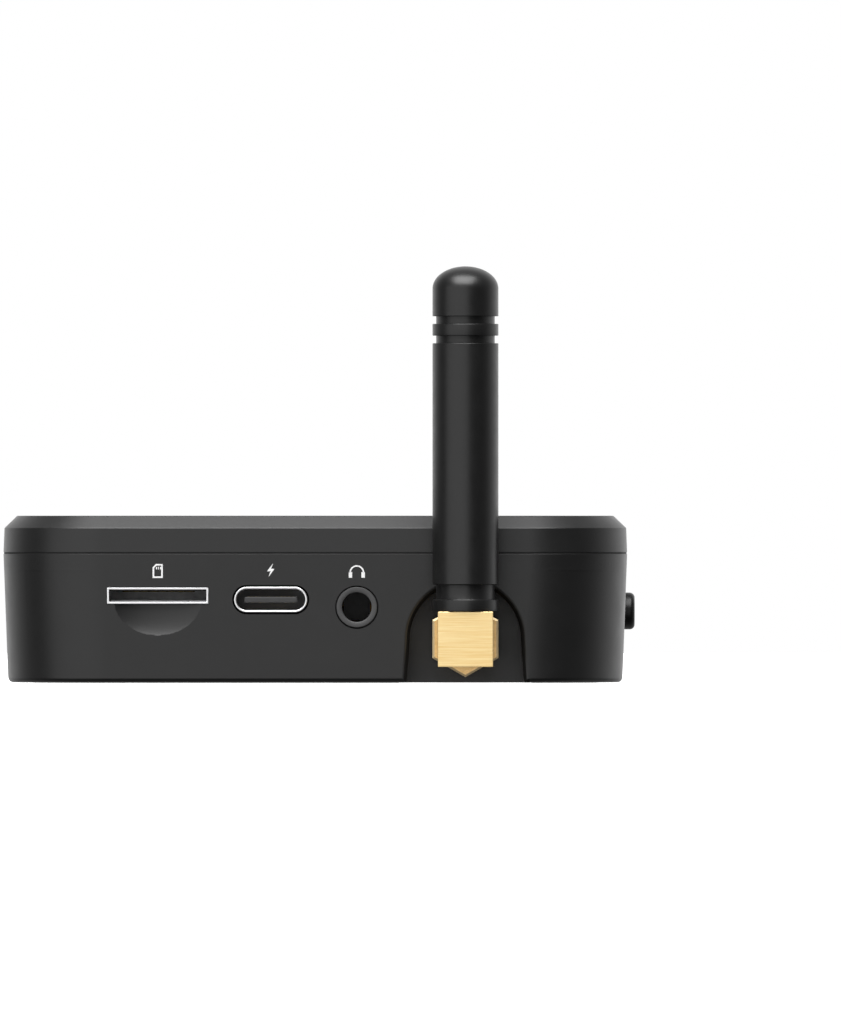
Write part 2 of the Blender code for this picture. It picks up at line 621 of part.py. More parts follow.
# ---------------------------------------------------------------- card slot
def card_slot():
    bezel_front = port_face_y(TF_Z) - FIT / 2
    bezel = part("tf_slot_bezel", box(TF_BEZEL_WIDTH, TF_BEZEL_DEPTH, TF_BEZEL_HEIGHT), "steel",
                 (TF_X, bezel_front + TF_BEZEL_DEPTH / 2, TF_Z - TF_BEZEL_HEIGHT / 2))
    open_height = TF_BEZEL_HEIGHT - 2 * TF_BEZEL_RIM
    cut(bezel, cutter("bezel_opening", box(TF_BEZEL_WIDTH - 2 * TF_BEZEL_RIM, 2 * TF_BEZEL_DEPTH, open_height),
                      (TF_X, bezel_front + TF_BEZEL_DEPTH / 2, TF_Z - open_height / 2)))

    mouth = inside_port_wall(BOARD_UNDER - TF_SOCKET_HEIGHT)
    low = BOARD_UNDER - FIT / 2 - TF_SOCKET_HEIGHT
    middle = mouth + TF_SOCKET_LENGTH / 2
    shell = part("tf_socket_shell", box(TF_SOCKET_WIDTH, TF_SOCKET_LENGTH, TF_SOCKET_HEIGHT), "steel",
                 (TF_X, middle, low))
    inside_width = TF_SOCKET_WIDTH - 2 * TF_SHEET
    inside_length = TF_SOCKET_LENGTH - TF_SHEET
    cut(shell, cutter("socket_inside", box(inside_width, 2 * inside_length, 2 * TF_SOCKET_HEIGHT),
                      (TF_X, mouth, low + TF_SHEET)))

    base_low = BOARD_UNDER - FIT / 2 - TF_BASE_THICKNESS
    plate_width = inside_width - FIT
    plate_length = inside_length - FIT
    part("tf_socket_base", box(plate_width, plate_length, TF_BASE_THICKNESS), "black_plastic",
         (TF_X, mouth + plate_length / 2, base_low))
    card_contacts(mouth + plate_length, base_low)
    card_slider(mouth, low + TF_SHEET, base_low, inside_width)


def card_contacts(back, base_low):
    """The comb of spring fingers under the socket's base."""
    thickness = TF_SHEET * 0.6
    finger = TF_CONTACT_PITCH * 0.5
    reach = TF_SOCKET_LENGTH * 0.4
    low = base_low - FIT / 2 - thickness
    bar = 2 * TF_SHEET
    comb = part("tf_socket_contacts", box(TF_CONTACTS * TF_CONTACT_PITCH, bar, thickness), "gold_plate",
                (TF_X, back - bar, low))
    for i in range(TF_CONTACTS):
        x = TF_X + (i - (TF_CONTACTS - 1) / 2) * TF_CONTACT_PITCH
        join(comb, cutter(f"finger_{i}", box(finger, reach, thickness), (x, back - bar - reach / 2, low)))


def card_slider(mouth, low, high, inside_width):
    """The push-push slider at the side of the card's path, and the spring that pushes it out."""
    height = high - low - 3 * FIT
    x = TF_X - inside_width / 2 + FIT / 2 + TF_SLIDER_WIDTH / 2
    back_wall = mouth + TF_SOCKET_LENGTH - TF_SHEET
    slider_back = back_wall - FIT - TF_SPRING_LENGTH - FIT
    part("tf_slider", box(TF_SLIDER_WIDTH, TF_SLIDER_LENGTH, height), "black_plastic",
         (x, slider_back - TF_SLIDER_LENGTH / 2, low + 3 * FIT / 2))
    z = (low + high) / 2
    start = slider_back + FIT + TF_SPRING_WIRE
    end = back_wall - FIT - TF_SPRING_WIRE
    wire("tf_slider_spring", helix((x, z), TF_SPRING_RADIUS, start, end, TF_SPRING_TURNS, 8, "Y"),
         TF_SPRING_WIRE, "steel", resolution=1)


# ---------------------------------------------------------------- USB-C port
def usb_port():
    mouth = port_face_y(USB_Z)
    middle = mouth + USB_LENGTH / 2
    shell = part("usb_c_shell", outline_solid(pill(USB_WIDTH, USB_HEIGHT), USB_LENGTH), "steel",
                 (USB_X, middle, USB_Z), FACING_PORTS)
    inside_width = USB_WIDTH - 2 * USB_SHEET
    inside_height = USB_HEIGHT - 2 * USB_SHEET
    cut(shell, cutter("usb_inside", outline_solid(pill(inside_width, inside_height), 2 * USB_LENGTH),
                      (USB_X, middle, USB_Z), FACING_PORTS))
    core_length = USB_LENGTH - USB_TONGUE_LENGTH - 2 * USB_SHEET
    core_front = mouth + USB_LENGTH - core_length
    core = part("usb_c_tongue", outline_solid(pill(inside_width - FIT, inside_height - FIT), core_length),
                "black_plastic", (USB_X, core_front + core_length / 2, USB_Z), FACING_PORTS)
    tongue_length = USB_TONGUE_LENGTH + core_length / 2
    join(core, cutter("tongue", box(USB_TONGUE_WIDTH, tongue_length, USB_TONGUE_THICKNESS),
                      (USB_X, core_front + core_length / 2 - tongue_length / 2,
                       USB_Z - USB_TONGUE_THICKNESS / 2)))


# ---------------------------------------------------------------- audio jack
def audio_jack():
    block_front = inside_port_wall(AUX_Z - AUX_HEIGHT / 2)
    housing = part("aux_jack_housing", box(AUX_WIDTH, AUX_LENGTH, AUX_HEIGHT), "grey_plastic",
                   (AUX_X, block_front + AUX_LENGTH / 2, AUX_Z - AUX_HEIGHT / 2))
    mouth = port_face_y(AUX_Z)
    barrel = cylinder(AUX_BARREL_RADIUS, block_front + AUX_LENGTH / 2 - mouth, MEDIUM)
    join(housing, cutter("aux_barrel", barrel, (AUX_X, mouth, AUX_Z), AXIS_Y))
    bore_end = block_front + AUX_LENGTH - WALL
    cut(housing, cutter("aux_bore", cylinder(AUX_BORE_RADIUS, 2 * (bore_end - mouth), MEDIUM),
                        (AUX_X, 2 * mouth - bore_end, AUX_Z), AXIS_Y))
    strips = (("aux_sleeve_contact", 0, 0.25), ("aux_ring_contact", 180, 0.48), ("aux_tip_contact", -90, 0.72))
    for name, angle, share in strips:
        aux_contact(housing, name, angle, block_front + share * (bore_end - block_front))


def aux_contact(housing, name, angle, y):
    """A leaf spring in a slot of the jack's housing, bent so that its crest bears on the plug."""
    crest = AUX_BORE_RADIUS - AUX_STRIP
    seat = AUX_BORE_RADIUS + AUX_STRIP
    half = AUX_STRIP_LENGTH / 2
    line = [(-half, seat), (-half / 2, seat), (0, crest), (half / 2, seat), (half, seat)]
    outline = line + [(along, away + AUX_STRIP) for along, away in reversed(line)]
    turn = math.radians(angle)
    spin = (math.radians(90), turn, math.radians(90))
    if angle == -90:
        spin = FACING_SIDE
        outline = [(along, -away) for along, away in outline]
    elif angle == 180:
        spin = (0, 0, math.radians(90))
    else:
        spin = (0, 0, math.radians(90))
        outline = [(along, -away) for along, away in outline]
    part(name, outline_solid(outline, AUX_STRIP_WIDTH), "gold_plate", (AUX_X, y, AUX_Z), spin)

    depth = seat + AUX_STRIP + SLIDE_FIT
    span = AUX_STRIP_LENGTH + 2 * SLIDE_FIT
    across = AUX_STRIP_WIDTH + 2 * SLIDE_FIT
    if angle == -90:
        cut(housing, cutter(f"{name}_slot", box(across, span, depth), (AUX_X, y, AUX_Z - depth)))
    else:
        side = 1 if angle == 0 else -1
        cut(housing, cutter(f"{name}_slot", box(depth, span, across),
                            (AUX_X + side * depth / 2, y, AUX_Z - across / 2)))


# ---------------------------------------------------------------- coaxial jack in the bay
def coaxial_jack():
    profile = [(THREAD_RADIUS, JACK_THREAD_END), (THREAD_RADIUS, BAY_BACK - FIT / 2),
               (JACK_FLANGE_RADIUS, BAY_BACK - FIT / 2), (JACK_FLANGE_RADIUS, FLANGE_FRONT),
               (THREAD_RADIUS, FLANGE_FRONT), (THREAD_RADIUS, JACK_MOUTH),
               (SNOUT_RADIUS + SLIDE_FIT, JACK_MOUTH), (SNOUT_RADIUS + SLIDE_FIT, JACK_MOUTH + SOCKET_DEPTH),
               (INSULATOR_RADIUS + FIT / 2, JACK_MOUTH + SOCKET_DEPTH), (INSULATOR_RADIUS + FIT / 2, JACK_THREAD_END),
               (JACK_TAIL_RADIUS * 0.6, JACK_THREAD_END), (JACK_TAIL_RADIUS * 0.6, JACK_TAIL_END),
               (JACK_TAIL_RADIUS, JACK_TAIL_END), (JACK_TAIL_RADIUS, JACK_THREAD_END + FIT),
               (THREAD_RADIUS, JACK_THREAD_END + FIT)]
    at = (PLUG_X, 0, PLUG_AXIS_HEIGHT)
    part("sma_jack_shell", turned(profile, MEDIUM, closed=True), "gold_plate", at, AXIS_Y)
    insulator_start = JACK_MOUTH + SOCKET_DEPTH
    part("sma_jack_insulator", tube(INSULATOR_RADIUS, CONTACT_RADIUS + FIT / 2, insulator_start,
                                    JACK_THREAD_END - FIT, COARSE), "white_insulator", at, AXIS_Y)
    contact = [(CONTACT_RADIUS, JACK_THREAD_END - FIT), (CONTACT_RADIUS, insulator_start),
               (PIN_RADIUS + FIT / 2, insulator_start), (PIN_RADIUS + FIT / 2, insulator_start + 2 * SOCKET_DEPTH),
               (0, insulator_start + 2 * SOCKET_DEPTH)]
    part("sma_jack_contact", turned([(0, JACK_THREAD_END - FIT)] + contact, COARSE), "gold_plate", at, AXIS_Y)
    part("sma_lock_washer", tube(WASHER_RADIUS, THREAD_RADIUS + FIT, WASHER_START,
                                 WASHER_START + WASHER_THICKNESS, COARSE), "steel", at, AXIS_Y)
    nut = part("sma_jack_nut", cylinder(JACK_NUT_FLATS / math.sqrt(3), JACK_NUT_LENGTH, 6), "gold_plate",
               (PLUG_X, JACK_NUT_START, PLUG_AXIS_HEIGHT), AXIS_Y_FLATS_DOWN)
    cut(nut, cutter("jack_nut_bore", cylinder(THREAD_RADIUS + FIT, 3 * JACK_NUT_LENGTH, MEDIUM),
                    (PLUG_X, JACK_NUT_START - JACK_NUT_LENGTH, PLUG_AXIS_HEIGHT), AXIS_Y))


def coaxial_lead():
    """The thin coaxial lead from the jack's tail up to its plug under the board."""
    lead_radius = 0.57 * mm
    plug_radius = 1.5 * mm
    plug_height = 1.2 * mm
    receptacle_radius = 1.2 * mm
    receptacle_height = 0.5 * mm
    plug_x = PLUG_X - 6.0 * mm
    plug_y = JACK_TAIL_END + 9.0 * mm
    receptacle_low = BOARD_UNDER - FIT / 2 - receptacle_height
    plug_low = receptacle_low - FIT / 2 - plug_height
    part("coax_receptacle", cylinder(receptacle_radius, receptacle_height), "gold_plate",
         (plug_x, plug_y, receptacle_low))
    part("coax_plug", cylinder(plug_radius, plug_height), "gold_plate", (plug_x, plug_y, plug_low))
    lead_z = plug_low + plug_height / 2
    start = Vector((PLUG_X, JACK_TAIL_END + FIT, PLUG_AXIS_HEIGHT))
    end = Vector((plug_x, plug_y - plug_radius - 3 * FIT, lead_z))
    route = [start, start + Vector((0, 2.2 * mm, 0)), (start + end) / 2 + Vector((2.2 * mm, 1.2 * mm, 0)),
             end - Vector((0, 1.8 * mm, 0)), end]
    wire("coax_lead", smooth_path([tuple(p) for p in route], 6), lead_radius, "black_plastic")


# ---------------------------------------------------------------- antenna
def hang_antenna_on_its_axis():
    """Everything that swivels with the antenna hangs on an empty that lies on the plug's axis."""
    pivot = put(PARTS, "antenna_swivel_axis", None, (PLUG_X, ANTENNA_Y, PLUG_AXIS_HEIGHT), (0, 0, 0))
    for name in ("antenna_elbow", "antenna_sheath", "antenna_plug_insulator", "antenna_spigot_insulator",
                 "antenna_feed_pin", "radiator_coil"):
        piece = bpy.data.objects[name]
        piece.parent = pivot
        piece.matrix_parent_inverse = Matrix.Translation(pivot.location).inverted()


def antenna_elbow():
    """The square elbow with its snout towards the jack and its spigot up into the sheath."""
    elbow = part("antenna_elbow", box(ELBOW_SIZE, ELBOW_BACK - ELBOW_FRONT, ELBOW_SIZE), "gold_plate",
                 (PLUG_X, (ELBOW_FRONT + ELBOW_BACK) / 2, PLUG_AXIS_HEIGHT - ELBOW_SIZE / 2))
    ring_y = NUT_FRONT + NUT_COLLAR / 2
    neck = SNOUT_RADIUS - RING_SECTION / 2
    snout = [(0, SNOUT_TIP), (SNOUT_RADIUS, SNOUT_TIP), (SNOUT_RADIUS, ring_y + RING_WIDTH / 2 + FIT),
             (neck, ring_y + RING_WIDTH / 2 + FIT), (neck, ring_y - RING_WIDTH / 2 - FIT),
             (SNOUT_RADIUS, ring_y - RING_WIDTH / 2 - FIT), (SNOUT_RADIUS, ANTENNA_Y), (0, ANTENNA_Y)]
    join(elbow, cutter("snout", turned(snout, MEDIUM), (PLUG_X, 0, PLUG_AXIS_HEIGHT), AXIS_Y))
    spigot_top = PLUG_AXIS_HEIGHT + ELBOW_SIZE / 2 + SPIGOT_LENGTH
    join(elbow, cutter("spigot", cylinder(SHEATH_BORE - FIT, spigot_top - PLUG_AXIS_HEIGHT),
                       (PLUG_X, ANTENNA_Y, PLUG_AXIS_HEIGHT)))
    cut(elbow, cutter("snout_bore", cylinder(SNOUT_BORE, 2 * (SNOUT_TIP - ANTENNA_Y)),
                      (PLUG_X, ANTENNA_Y - PIN_RADIUS - FIT, PLUG_AXIS_HEIGHT), AXIS_Y))
    cut(elbow, cutter("spigot_bore", cylinder(SNOUT_BORE * 0.9, 2 * (spigot_top - PLUG_AXIS_HEIGHT)),
                      (PLUG_X, ANTENNA_Y, PLUG_AXIS_HEIGHT - PIN_RADIUS - FIT)))

    at = (PLUG_X, 0, PLUG_AXIS_HEIGHT)
    hole = PIN_RADIUS + FIT / 2
    part("antenna_plug_insulator", tube(SNOUT_BORE - FIT / 2, hole, ANTENNA_Y + SNOUT_BORE + FIT, SNOUT_TIP,
                                        COARSE), "white_insulator", at, AXIS_Y)
    part("antenna_spigot_insulator", tube(SNOUT_BORE * 0.9 - FIT / 2, hole,
                                          PLUG_AXIS_HEIGHT + SNOUT_BORE + FIT, spigot_top, COARSE),
         "white_insulator", (PLUG_X, ANTENNA_Y, 0))
    pin_tip = JACK_MOUTH + SOCKET_DEPTH + SNOUT_IN_JACK
    bend = 0.6 * mm
    feed_top = spigot_top + 2 * FIT
    wire("antenna_feed_pin", [(PLUG_X, pin_tip, PLUG_AXIS_HEIGHT), (PLUG_X, ANTENNA_Y + bend, PLUG_AXIS_HEIGHT),
                              (PLUG_X, ANTENNA_Y, PLUG_AXIS_HEIGHT + bend), (PLUG_X, ANTENNA_Y, feed_top)],
         PIN_RADIUS, "gold_plate", resolution=2)
    return feed_top


def radiator_coil(feed_top):
    """The helical radiator that stands on the feed pin inside the sheath."""
    crown = PLUG_AXIS_HEIGHT + ELBOW_SIZE / 2 + FIT / 2 + SHEATH_LENGTH - SHEATH_CROWN
    start = feed_top + 2 * mm
    end = crown - COIL_WIRE - 2 * FIT
    coil = helix((PLUG_X, ANTENNA_Y), COIL_RADIUS, start, end, COIL_TURNS, 8, "Z")
    foot = [(PLUG_X, ANTENNA_Y, feed_top + FIT / 2), (PLUG_X, ANTENNA_Y, start - mm / 2)]
    wire("radiator_coil", foot + coil, COIL_WIRE, "gold_plate")


def antenna_sheath():
    """The moulded rubber sheath: a domed cap, two grooves, a long barrel, a neck and a collar."""
    low = PLUG_AXIS_HEIGHT + ELBOW_SIZE / 2 + FIT / 2
    top = low + SHEATH_LENGTH
    waist = SHEATH_RADIUS - GROOVE_DEPTH
    dome = [(SHEATH_RADIUS * math.sin(a), top - DOME_HEIGHT * (1 - math.cos(a)))
            for a in (math.radians(90 * i / 8) for i in range(9))]
    profile = list(dome)
    z = top - CAP_LENGTH
    for gap in (GROOVE_WIDTH, GROOVE_WIDTH):
        profile += [(SHEATH_RADIUS, z), (waist, z), (waist, z - gap), (SHEATH_RADIUS, z - gap)]
        z -= gap + GROOVE_RING
    neck_low = low + COLLAR_LENGTH
    neck_high = neck_low + NECK_LENGTH
    crown = top - SHEATH_CROWN
    profile += [(SHEATH_RADIUS, neck_high), (waist, neck_high), (waist, neck_low), (SHEATH_RADIUS, neck_low),
                (SHEATH_RADIUS, low), (SHEATH_BORE, low), (SHEATH_BORE, crown), (0, crown)]
    part("antenna_sheath", turned(profile, FINE), "sheath_rubber", (PLUG_X, ANTENNA_Y, 0))


def coupling_nut():
    """The hexagon nut that turns on the snout and screws onto the jack, and the ring that keeps it there."""
    nut = part("coupling_nut", cylinder(NUT_CORNER_RADIUS, NUT_LENGTH, 6), "gold_plate",
               (PLUG_X, NUT_FRONT, PLUG_AXIS_HEIGHT), AXIS_Y)
    ring_y = NUT_FRONT + NUT_COLLAR / 2
    ring_in = SNOUT_RADIUS - RING_SECTION / 2 + FIT / 2
    ring_out = ring_in + RING_SECTION
    collar_bore = SNOUT_RADIUS + SLIDE_FIT
    thread_bore = THREAD_RADIUS + FIT
    beyond = NUT_BACK + NUT_COLLAR
    bore = [(0, beyond), (thread_bore, beyond), (thread_bore, NUT_FRONT + NUT_COLLAR),
            (collar_bore, NUT_FRONT + NUT_COLLAR), (collar_bore, ring_y + RING_WIDTH / 2 + FIT),
            (ring_out + FIT / 2, ring_y + RING_WIDTH / 2 + FIT),
            (ring_out + FIT / 2, ring_y - RING_WIDTH / 2 - FIT),
            (collar_bore, ring_y - RING_WIDTH / 2 - FIT), (collar_bore, NUT_FRONT - NUT_COLLAR),
            (0, NUT_FRONT - NUT_COLLAR)]
    at = (PLUG_X, 0, PLUG_AXIS_HEIGHT)
    cut(nut, cutter("nut_bore", turned(bore, MEDIUM), at, AXIS_Y))
    ring = part("nut_retaining_ring", tube(ring_out, ring_in, ring_y - RING_WIDTH / 2, ring_y + RING_WIDTH / 2,
                                           MEDIUM), "steel", at, AXIS_Y)
    split = RING_SECTION
    cut(ring, cutter("ring_split", box(split, 2 * RING_WIDTH, 2 * ring_out),
                     (PLUG_X, ring_y, PLUG_AXIS_HEIGHT)))


# ---------------------------------------------------------------- side button and switch
def side_button():
    """The pill-shaped cap, with a flange behind the wall and a nub that presses the switch."""
    outer_x = outer_half(BUTTON_Z)[0] + BUTTON_PROUD
    flange_low = BUTTON_Z - BUTTON_HEIGHT / 2 - BUTTON_FLANGE_RIM
    flange_out = outer_half(flange_low)[0] - WALL - FIT
    stem = outer_x - flange_out + BUTTON_FLANGE / 2
    cap = put(CUTTERS, "cap_blank", outline_solid(pill(BUTTON_LENGTH, BUTTON_HEIGHT, 12), stem),
              (0, 0, 0), (0, 0, 0))
    rounding = cap.modifiers.new("round the outer rim", "BEVEL")
    rounding.width = BUTTON_ROUND
    rounding.segments = 3
    rounding.limit_method = "ANGLE"
    rounding.angle_limit = math.radians(60)
    button = part("side_button", settled_mesh(cap), "button_plastic", (outer_x - stem / 2, 0, BUTTON_Z),
                  FACING_SIDE)
    flange = outline_solid(pill(BUTTON_LENGTH + 2 * BUTTON_FLANGE_RIM, BUTTON_HEIGHT + 2 * BUTTON_FLANGE_RIM),
                           BUTTON_FLANGE)
    join(button, cutter("button_flange", flange, (flange_out - BUTTON_FLANGE / 2, 0, BUTTON_Z), FACING_SIDE))
    nub_tip = flange_out - BUTTON_FLANGE - BUTTON_NUB
    join(button, cutter("button_nub", cylinder(BUTTON_NUB_RADIUS, BUTTON_NUB + BUTTON_FLANGE / 2),
                        (nub_tip, 0, BUTTON_Z), AXIS_X))
    return nub_tip


def side_switch(nub_tip):
    """The push switch under the board: body, steel face plate, snap dome and plunger."""
    tip = nub_tip - FIT
    plate_out = tip - PLUNGER_REACH
    body_face = plate_out - SWITCH_PLATE - FIT / 2
    centre_low = BUTTON_Z - SWITCH_SIZE / 2
    chamber_radius = PLUNGER_RADIUS + 0.45 * mm
    chamber_depth = PLUNGER_FLANGE + DOME_RISE + BUTTON_TRAVEL + 3 * FIT
    body = part("switch_body", box(SWITCH_DEPTH, SWITCH_SIZE, SWITCH_SIZE), "black_plastic",
                (body_face - SWITCH_DEPTH / 2, 0, centre_low))
    cut(body, cutter("switch_chamber", cylinder(chamber_radius, 2 * chamber_depth),
                     (body_face - chamber_depth, 0, BUTTON_Z), AXIS_X))
    plate = part("switch_plate", box(SWITCH_PLATE, SWITCH_SIZE, SWITCH_SIZE), "steel",
                 (plate_out - SWITCH_PLATE / 2, 0, centre_low))
    cut(plate, cutter("plate_hole", cylinder(PLUNGER_RADIUS + FIT, 4 * SWITCH_PLATE),
                      (plate_out - 2 * SWITCH_PLATE, 0, BUTTON_Z), AXIS_X))
    flange_top = body_face - FIT / 2
    flange_radius = chamber_radius - FIT
    plunger = [(0, tip), (PLUNGER_RADIUS, tip), (PLUNGER_RADIUS, flange_top), (flange_radius, flange_top),
               (flange_radius, flange_top - PLUNGER_FLANGE), (0, flange_top - PLUNGER_FLANGE)]
    at = (0, 0, BUTTON_Z)
    part("switch_plunger", turned(plunger, COARSE), "button_plastic", at, AXIS_X)
    dome_top = flange_top - PLUNGER_FLANGE - FIT
    steps = 4
    over = [(flange_radius * i / steps, dome_top - DOME_RISE * (i / steps) ** 2) for i in range(steps + 1)]
    under = [(radius, x - DOME_SHEET) for radius, x in reversed(over)]
    part("switch_dome", turned(over + under, COARSE), "steel", at, AXIS_X)


# ---------------------------------------------------------------- status light and board parts
def status_light():
    face = outer_half(LED_Z)[1]
    flange_y = outer_half(LED_Z - 2 * LIGHT_PIPE_RADIUS)[1] - WALL - FIT
    profile = [(0, face), (LIGHT_PIPE_RADIUS, face), (LIGHT_PIPE_RADIUS, flange_y),
               (LIGHT_PIPE_RADIUS * 1.5, flange_y), (LIGHT_PIPE_RADIUS * 1.5, flange_y - LIGHT_PIPE_FLANGE),
               (0, flange_y - LIGHT_PIPE_FLANGE)]
    pipe = part("light_pipe", turned(profile, COARSE), "light_guide", (0, 0, LED_Z), AXIS_Y)
    board_gap = cutter("pipe_flat", box(4 * LIGHT_PIPE_RADIUS, 2 * WALL, LIGHT_PIPE_RADIUS),
                       (0, flange_y - WALL + FIT / 2, BOARD_UNDER - FIT))
    cut(pipe, board_gap)
    led_back = flange_y - LIGHT_PIPE_FLANGE - FIT
    part("status_led", box(LED_WIDTH, LED_DEPTH, LED_HEIGHT), "light_guide",
         (0, led_back - LED_DEPTH / 2, LED_Z - LED_HEIGHT / 2))


def board_parts():
    """The chips, cans and coils that hang from the underside of the board."""
    shelf = BOARD_UNDER - FIT / 2
    module_x, module_y = 3.0 * mm, 2.0 * mm
    module_board = 0.8 * mm
    module_can = 1.6 * mm
    part("bluetooth_module_board", box(13.0 * mm, 17.0 * mm, module_board), "board_laminate",
         (module_x, module_y, shelf - module_board))
    part("bluetooth_module_shield", box(11.0 * mm, 10.0 * mm, module_can, 0.6 * mm), "steel",
         (module_x, module_y + 2.0 * mm, shelf - module_board - FIT / 2 - module_can))
    flat_parts = (
        ("audio_converter_chip", -15.0, 1.0, 7.0, 7.0, 1.2, "chip_resin"),
        ("output_amplifier_chip", -15.0, -10.0, 5.0, 4.0, 1.5, "chip_resin"),
        ("voltage_regulator_chip", -25.0, -2.0, 3.0, 3.0, 1.1, "chip_resin"),
        ("power_inductor", -25.0, 5.0, 4.0, 4.0, 2.1, "grey_plastic"),
        ("clock_crystal", -15.0, 9.0, 3.2, 2.5, 0.8, "steel"),
        ("card_controller_chip", -25.0, -12.0, 5.0, 5.0, 0.9, "chip_resin"),
    )
    for name, x, y, width, depth, height, finish_name in flat_parts:
        part(name, box(width * mm, depth * mm, height * mm), finish_name,
             (x * mm, y * mm, shelf - height * mm))
    can_radius, can_height = 2.5 * mm, 5.4 * mm
    for i, (x, y) in enumerate(((-6.0, -17.0), (0.5, -17.0), (18.0, 6.0)), 1):
        part(f"capacitor_{i}", cylinder(can_radius, can_height), "capacitor_can",
             (x * mm, y * mm, shelf - can_height))


# ---------------------------------------------------------------- build
clear_scene()
PARTS = new_collection("bluetooth_audio_receiver")
CUTTERS = new_collection("cutters")

bottom_case()
top_cover()
mat_block("base_mat", 0.0, 0.0, MAT_THICKNESS, lambda name, mesh: part(name, mesh, "mat_rubber"))
case_screws()
circuit_board()
card_slot()
usb_port()
audio_jack()
coaxial_jack()
coaxial_lead()
radiator_coil(antenna_elbow())
antenna_sheath()
hang_antenna_on_its_axis()
coupling_nut()
side_switch(side_button())
status_light()
board_parts()
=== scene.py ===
"""Looks of a small wireless audio receiver: a flat satin case with a stub antenna on a gold right-angle plug.

Metres, +Z up. The port wall faces -Y, the side button +X. The sections follow the receiver as it is put
together: the studio, the case, what sits in the port wall, the antenna, the button and the board inside.
"""

import math

import bmesh
import bpy
from mathutils import Matrix, Vector


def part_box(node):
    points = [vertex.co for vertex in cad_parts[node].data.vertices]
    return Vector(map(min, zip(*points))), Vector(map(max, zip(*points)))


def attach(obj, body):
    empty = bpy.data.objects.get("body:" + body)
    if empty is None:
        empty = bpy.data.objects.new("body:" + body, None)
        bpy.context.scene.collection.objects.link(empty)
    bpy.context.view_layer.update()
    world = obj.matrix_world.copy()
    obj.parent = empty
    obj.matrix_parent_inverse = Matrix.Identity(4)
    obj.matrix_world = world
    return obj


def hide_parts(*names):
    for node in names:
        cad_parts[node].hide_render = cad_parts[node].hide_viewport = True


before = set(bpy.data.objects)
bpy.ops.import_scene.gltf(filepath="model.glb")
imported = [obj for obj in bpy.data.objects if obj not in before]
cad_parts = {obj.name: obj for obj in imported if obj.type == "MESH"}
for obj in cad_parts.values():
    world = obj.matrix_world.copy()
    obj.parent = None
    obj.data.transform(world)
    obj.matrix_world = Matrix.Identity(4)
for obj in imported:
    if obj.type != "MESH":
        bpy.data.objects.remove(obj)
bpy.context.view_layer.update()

mm = 0.001

# ------------------------------------------------------------------ studio
# A pale floor, a wide soft box overhead, a soft box in front and a white surround behind. The sides stay dim,
# which draws the dark bands just inside the case's round corners and along the antenna.
VIEW_DISTANCE = 4.5
VIEW_CENTRE = Vector((12.8 * mm, 0, 21.0 * mm))
FRAME_HEIGHT = 123.8 * mm

bpy.context.scene.view_settings.view_transform = "Standard"
port_wall_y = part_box("bottom_case")[0].y
camera_data = bpy.data.cameras.new("camera")
camera_data.type = "PERSP"
camera_data.sensor_width = 36.0
camera_data.lens = camera_data.sensor_width * (VIEW_DISTANCE + port_wall_y) / FRAME_HEIGHT
camera_data.clip_start = 0.01
camera_data.clip_end = 20.0
camera = bpy.data.objects.new("camera", camera_data)
camera.location = VIEW_CENTRE - Vector((0, VIEW_DISTANCE, 0))
camera.rotation_euler = (math.radians(90), 0, 0)
bpy.context.scene.collection.objects.link(camera)
bpy.context.scene.camera = camera


def soft_box(name, place, aim, width, height, radiance):
    """A rectangular area light that is as bright as asked in every direction, wherever it stands."""
    data = bpy.data.lights.new(name, "AREA")
    data.shape = "RECTANGLE"
    data.size = width
    data.size_y = height
    data.energy = radiance * math.pi * width * height
    lamp = bpy.data.objects.new(name, data)
    lamp.location = place
    lamp.rotation_euler = (Vector(aim) - Vector(place)).to_track_quat("-Z", "Y").to_euler()
    lamp.visible_camera = False
    bpy.context.scene.collection.objects.link(lamp)


soft_box("overhead_box", place=(-0.08, -0.56, 1.06), aim=(0, 0, 0.02), width=1.15, height=1.15, radiance=7.9)
soft_box("front_box", place=(-0.285, -0.55, 0.0), aim=(0, 0, 0.01), width=1.0, height=0.62, radiance=1.06)

# The surround goes from dim in front of the receiver to bright behind it, and fades a little high and low.
BRIGHT_SIDE = (0.18, 0.95, -0.25)
AROUND = ((0.0, 0.08), (0.38, 0.12), (0.5, 0.24), (0.65, 0.62), (0.75, 1.0), (1.0, 1.35))
UPWARDS = ((0.0, 0.3), (0.3, 0.3), (0.47, 1.0), (0.62, 1.0), (0.85, 0.8), (1.0, 0.8))
world = bpy.data.worlds.new("studio_surround")
world.use_nodes = True
bpy.context.scene.world = world
nodes = world.node_tree.nodes
links = world.node_tree.links
nodes.clear()


def grey_ramp(stops):
    """A colour ramp in the surround's nodes through (position, grey) stops."""
    ramp = nodes.new("ShaderNodeValToRGB")
    elements = ramp.color_ramp.elements
    while len(elements) < len(stops):
        elements.new(0.5)
    for stop, (position, grey) in zip(elements, stops):
        stop.position = position
        stop.color = (grey, grey, grey, 1.0)
    return ramp


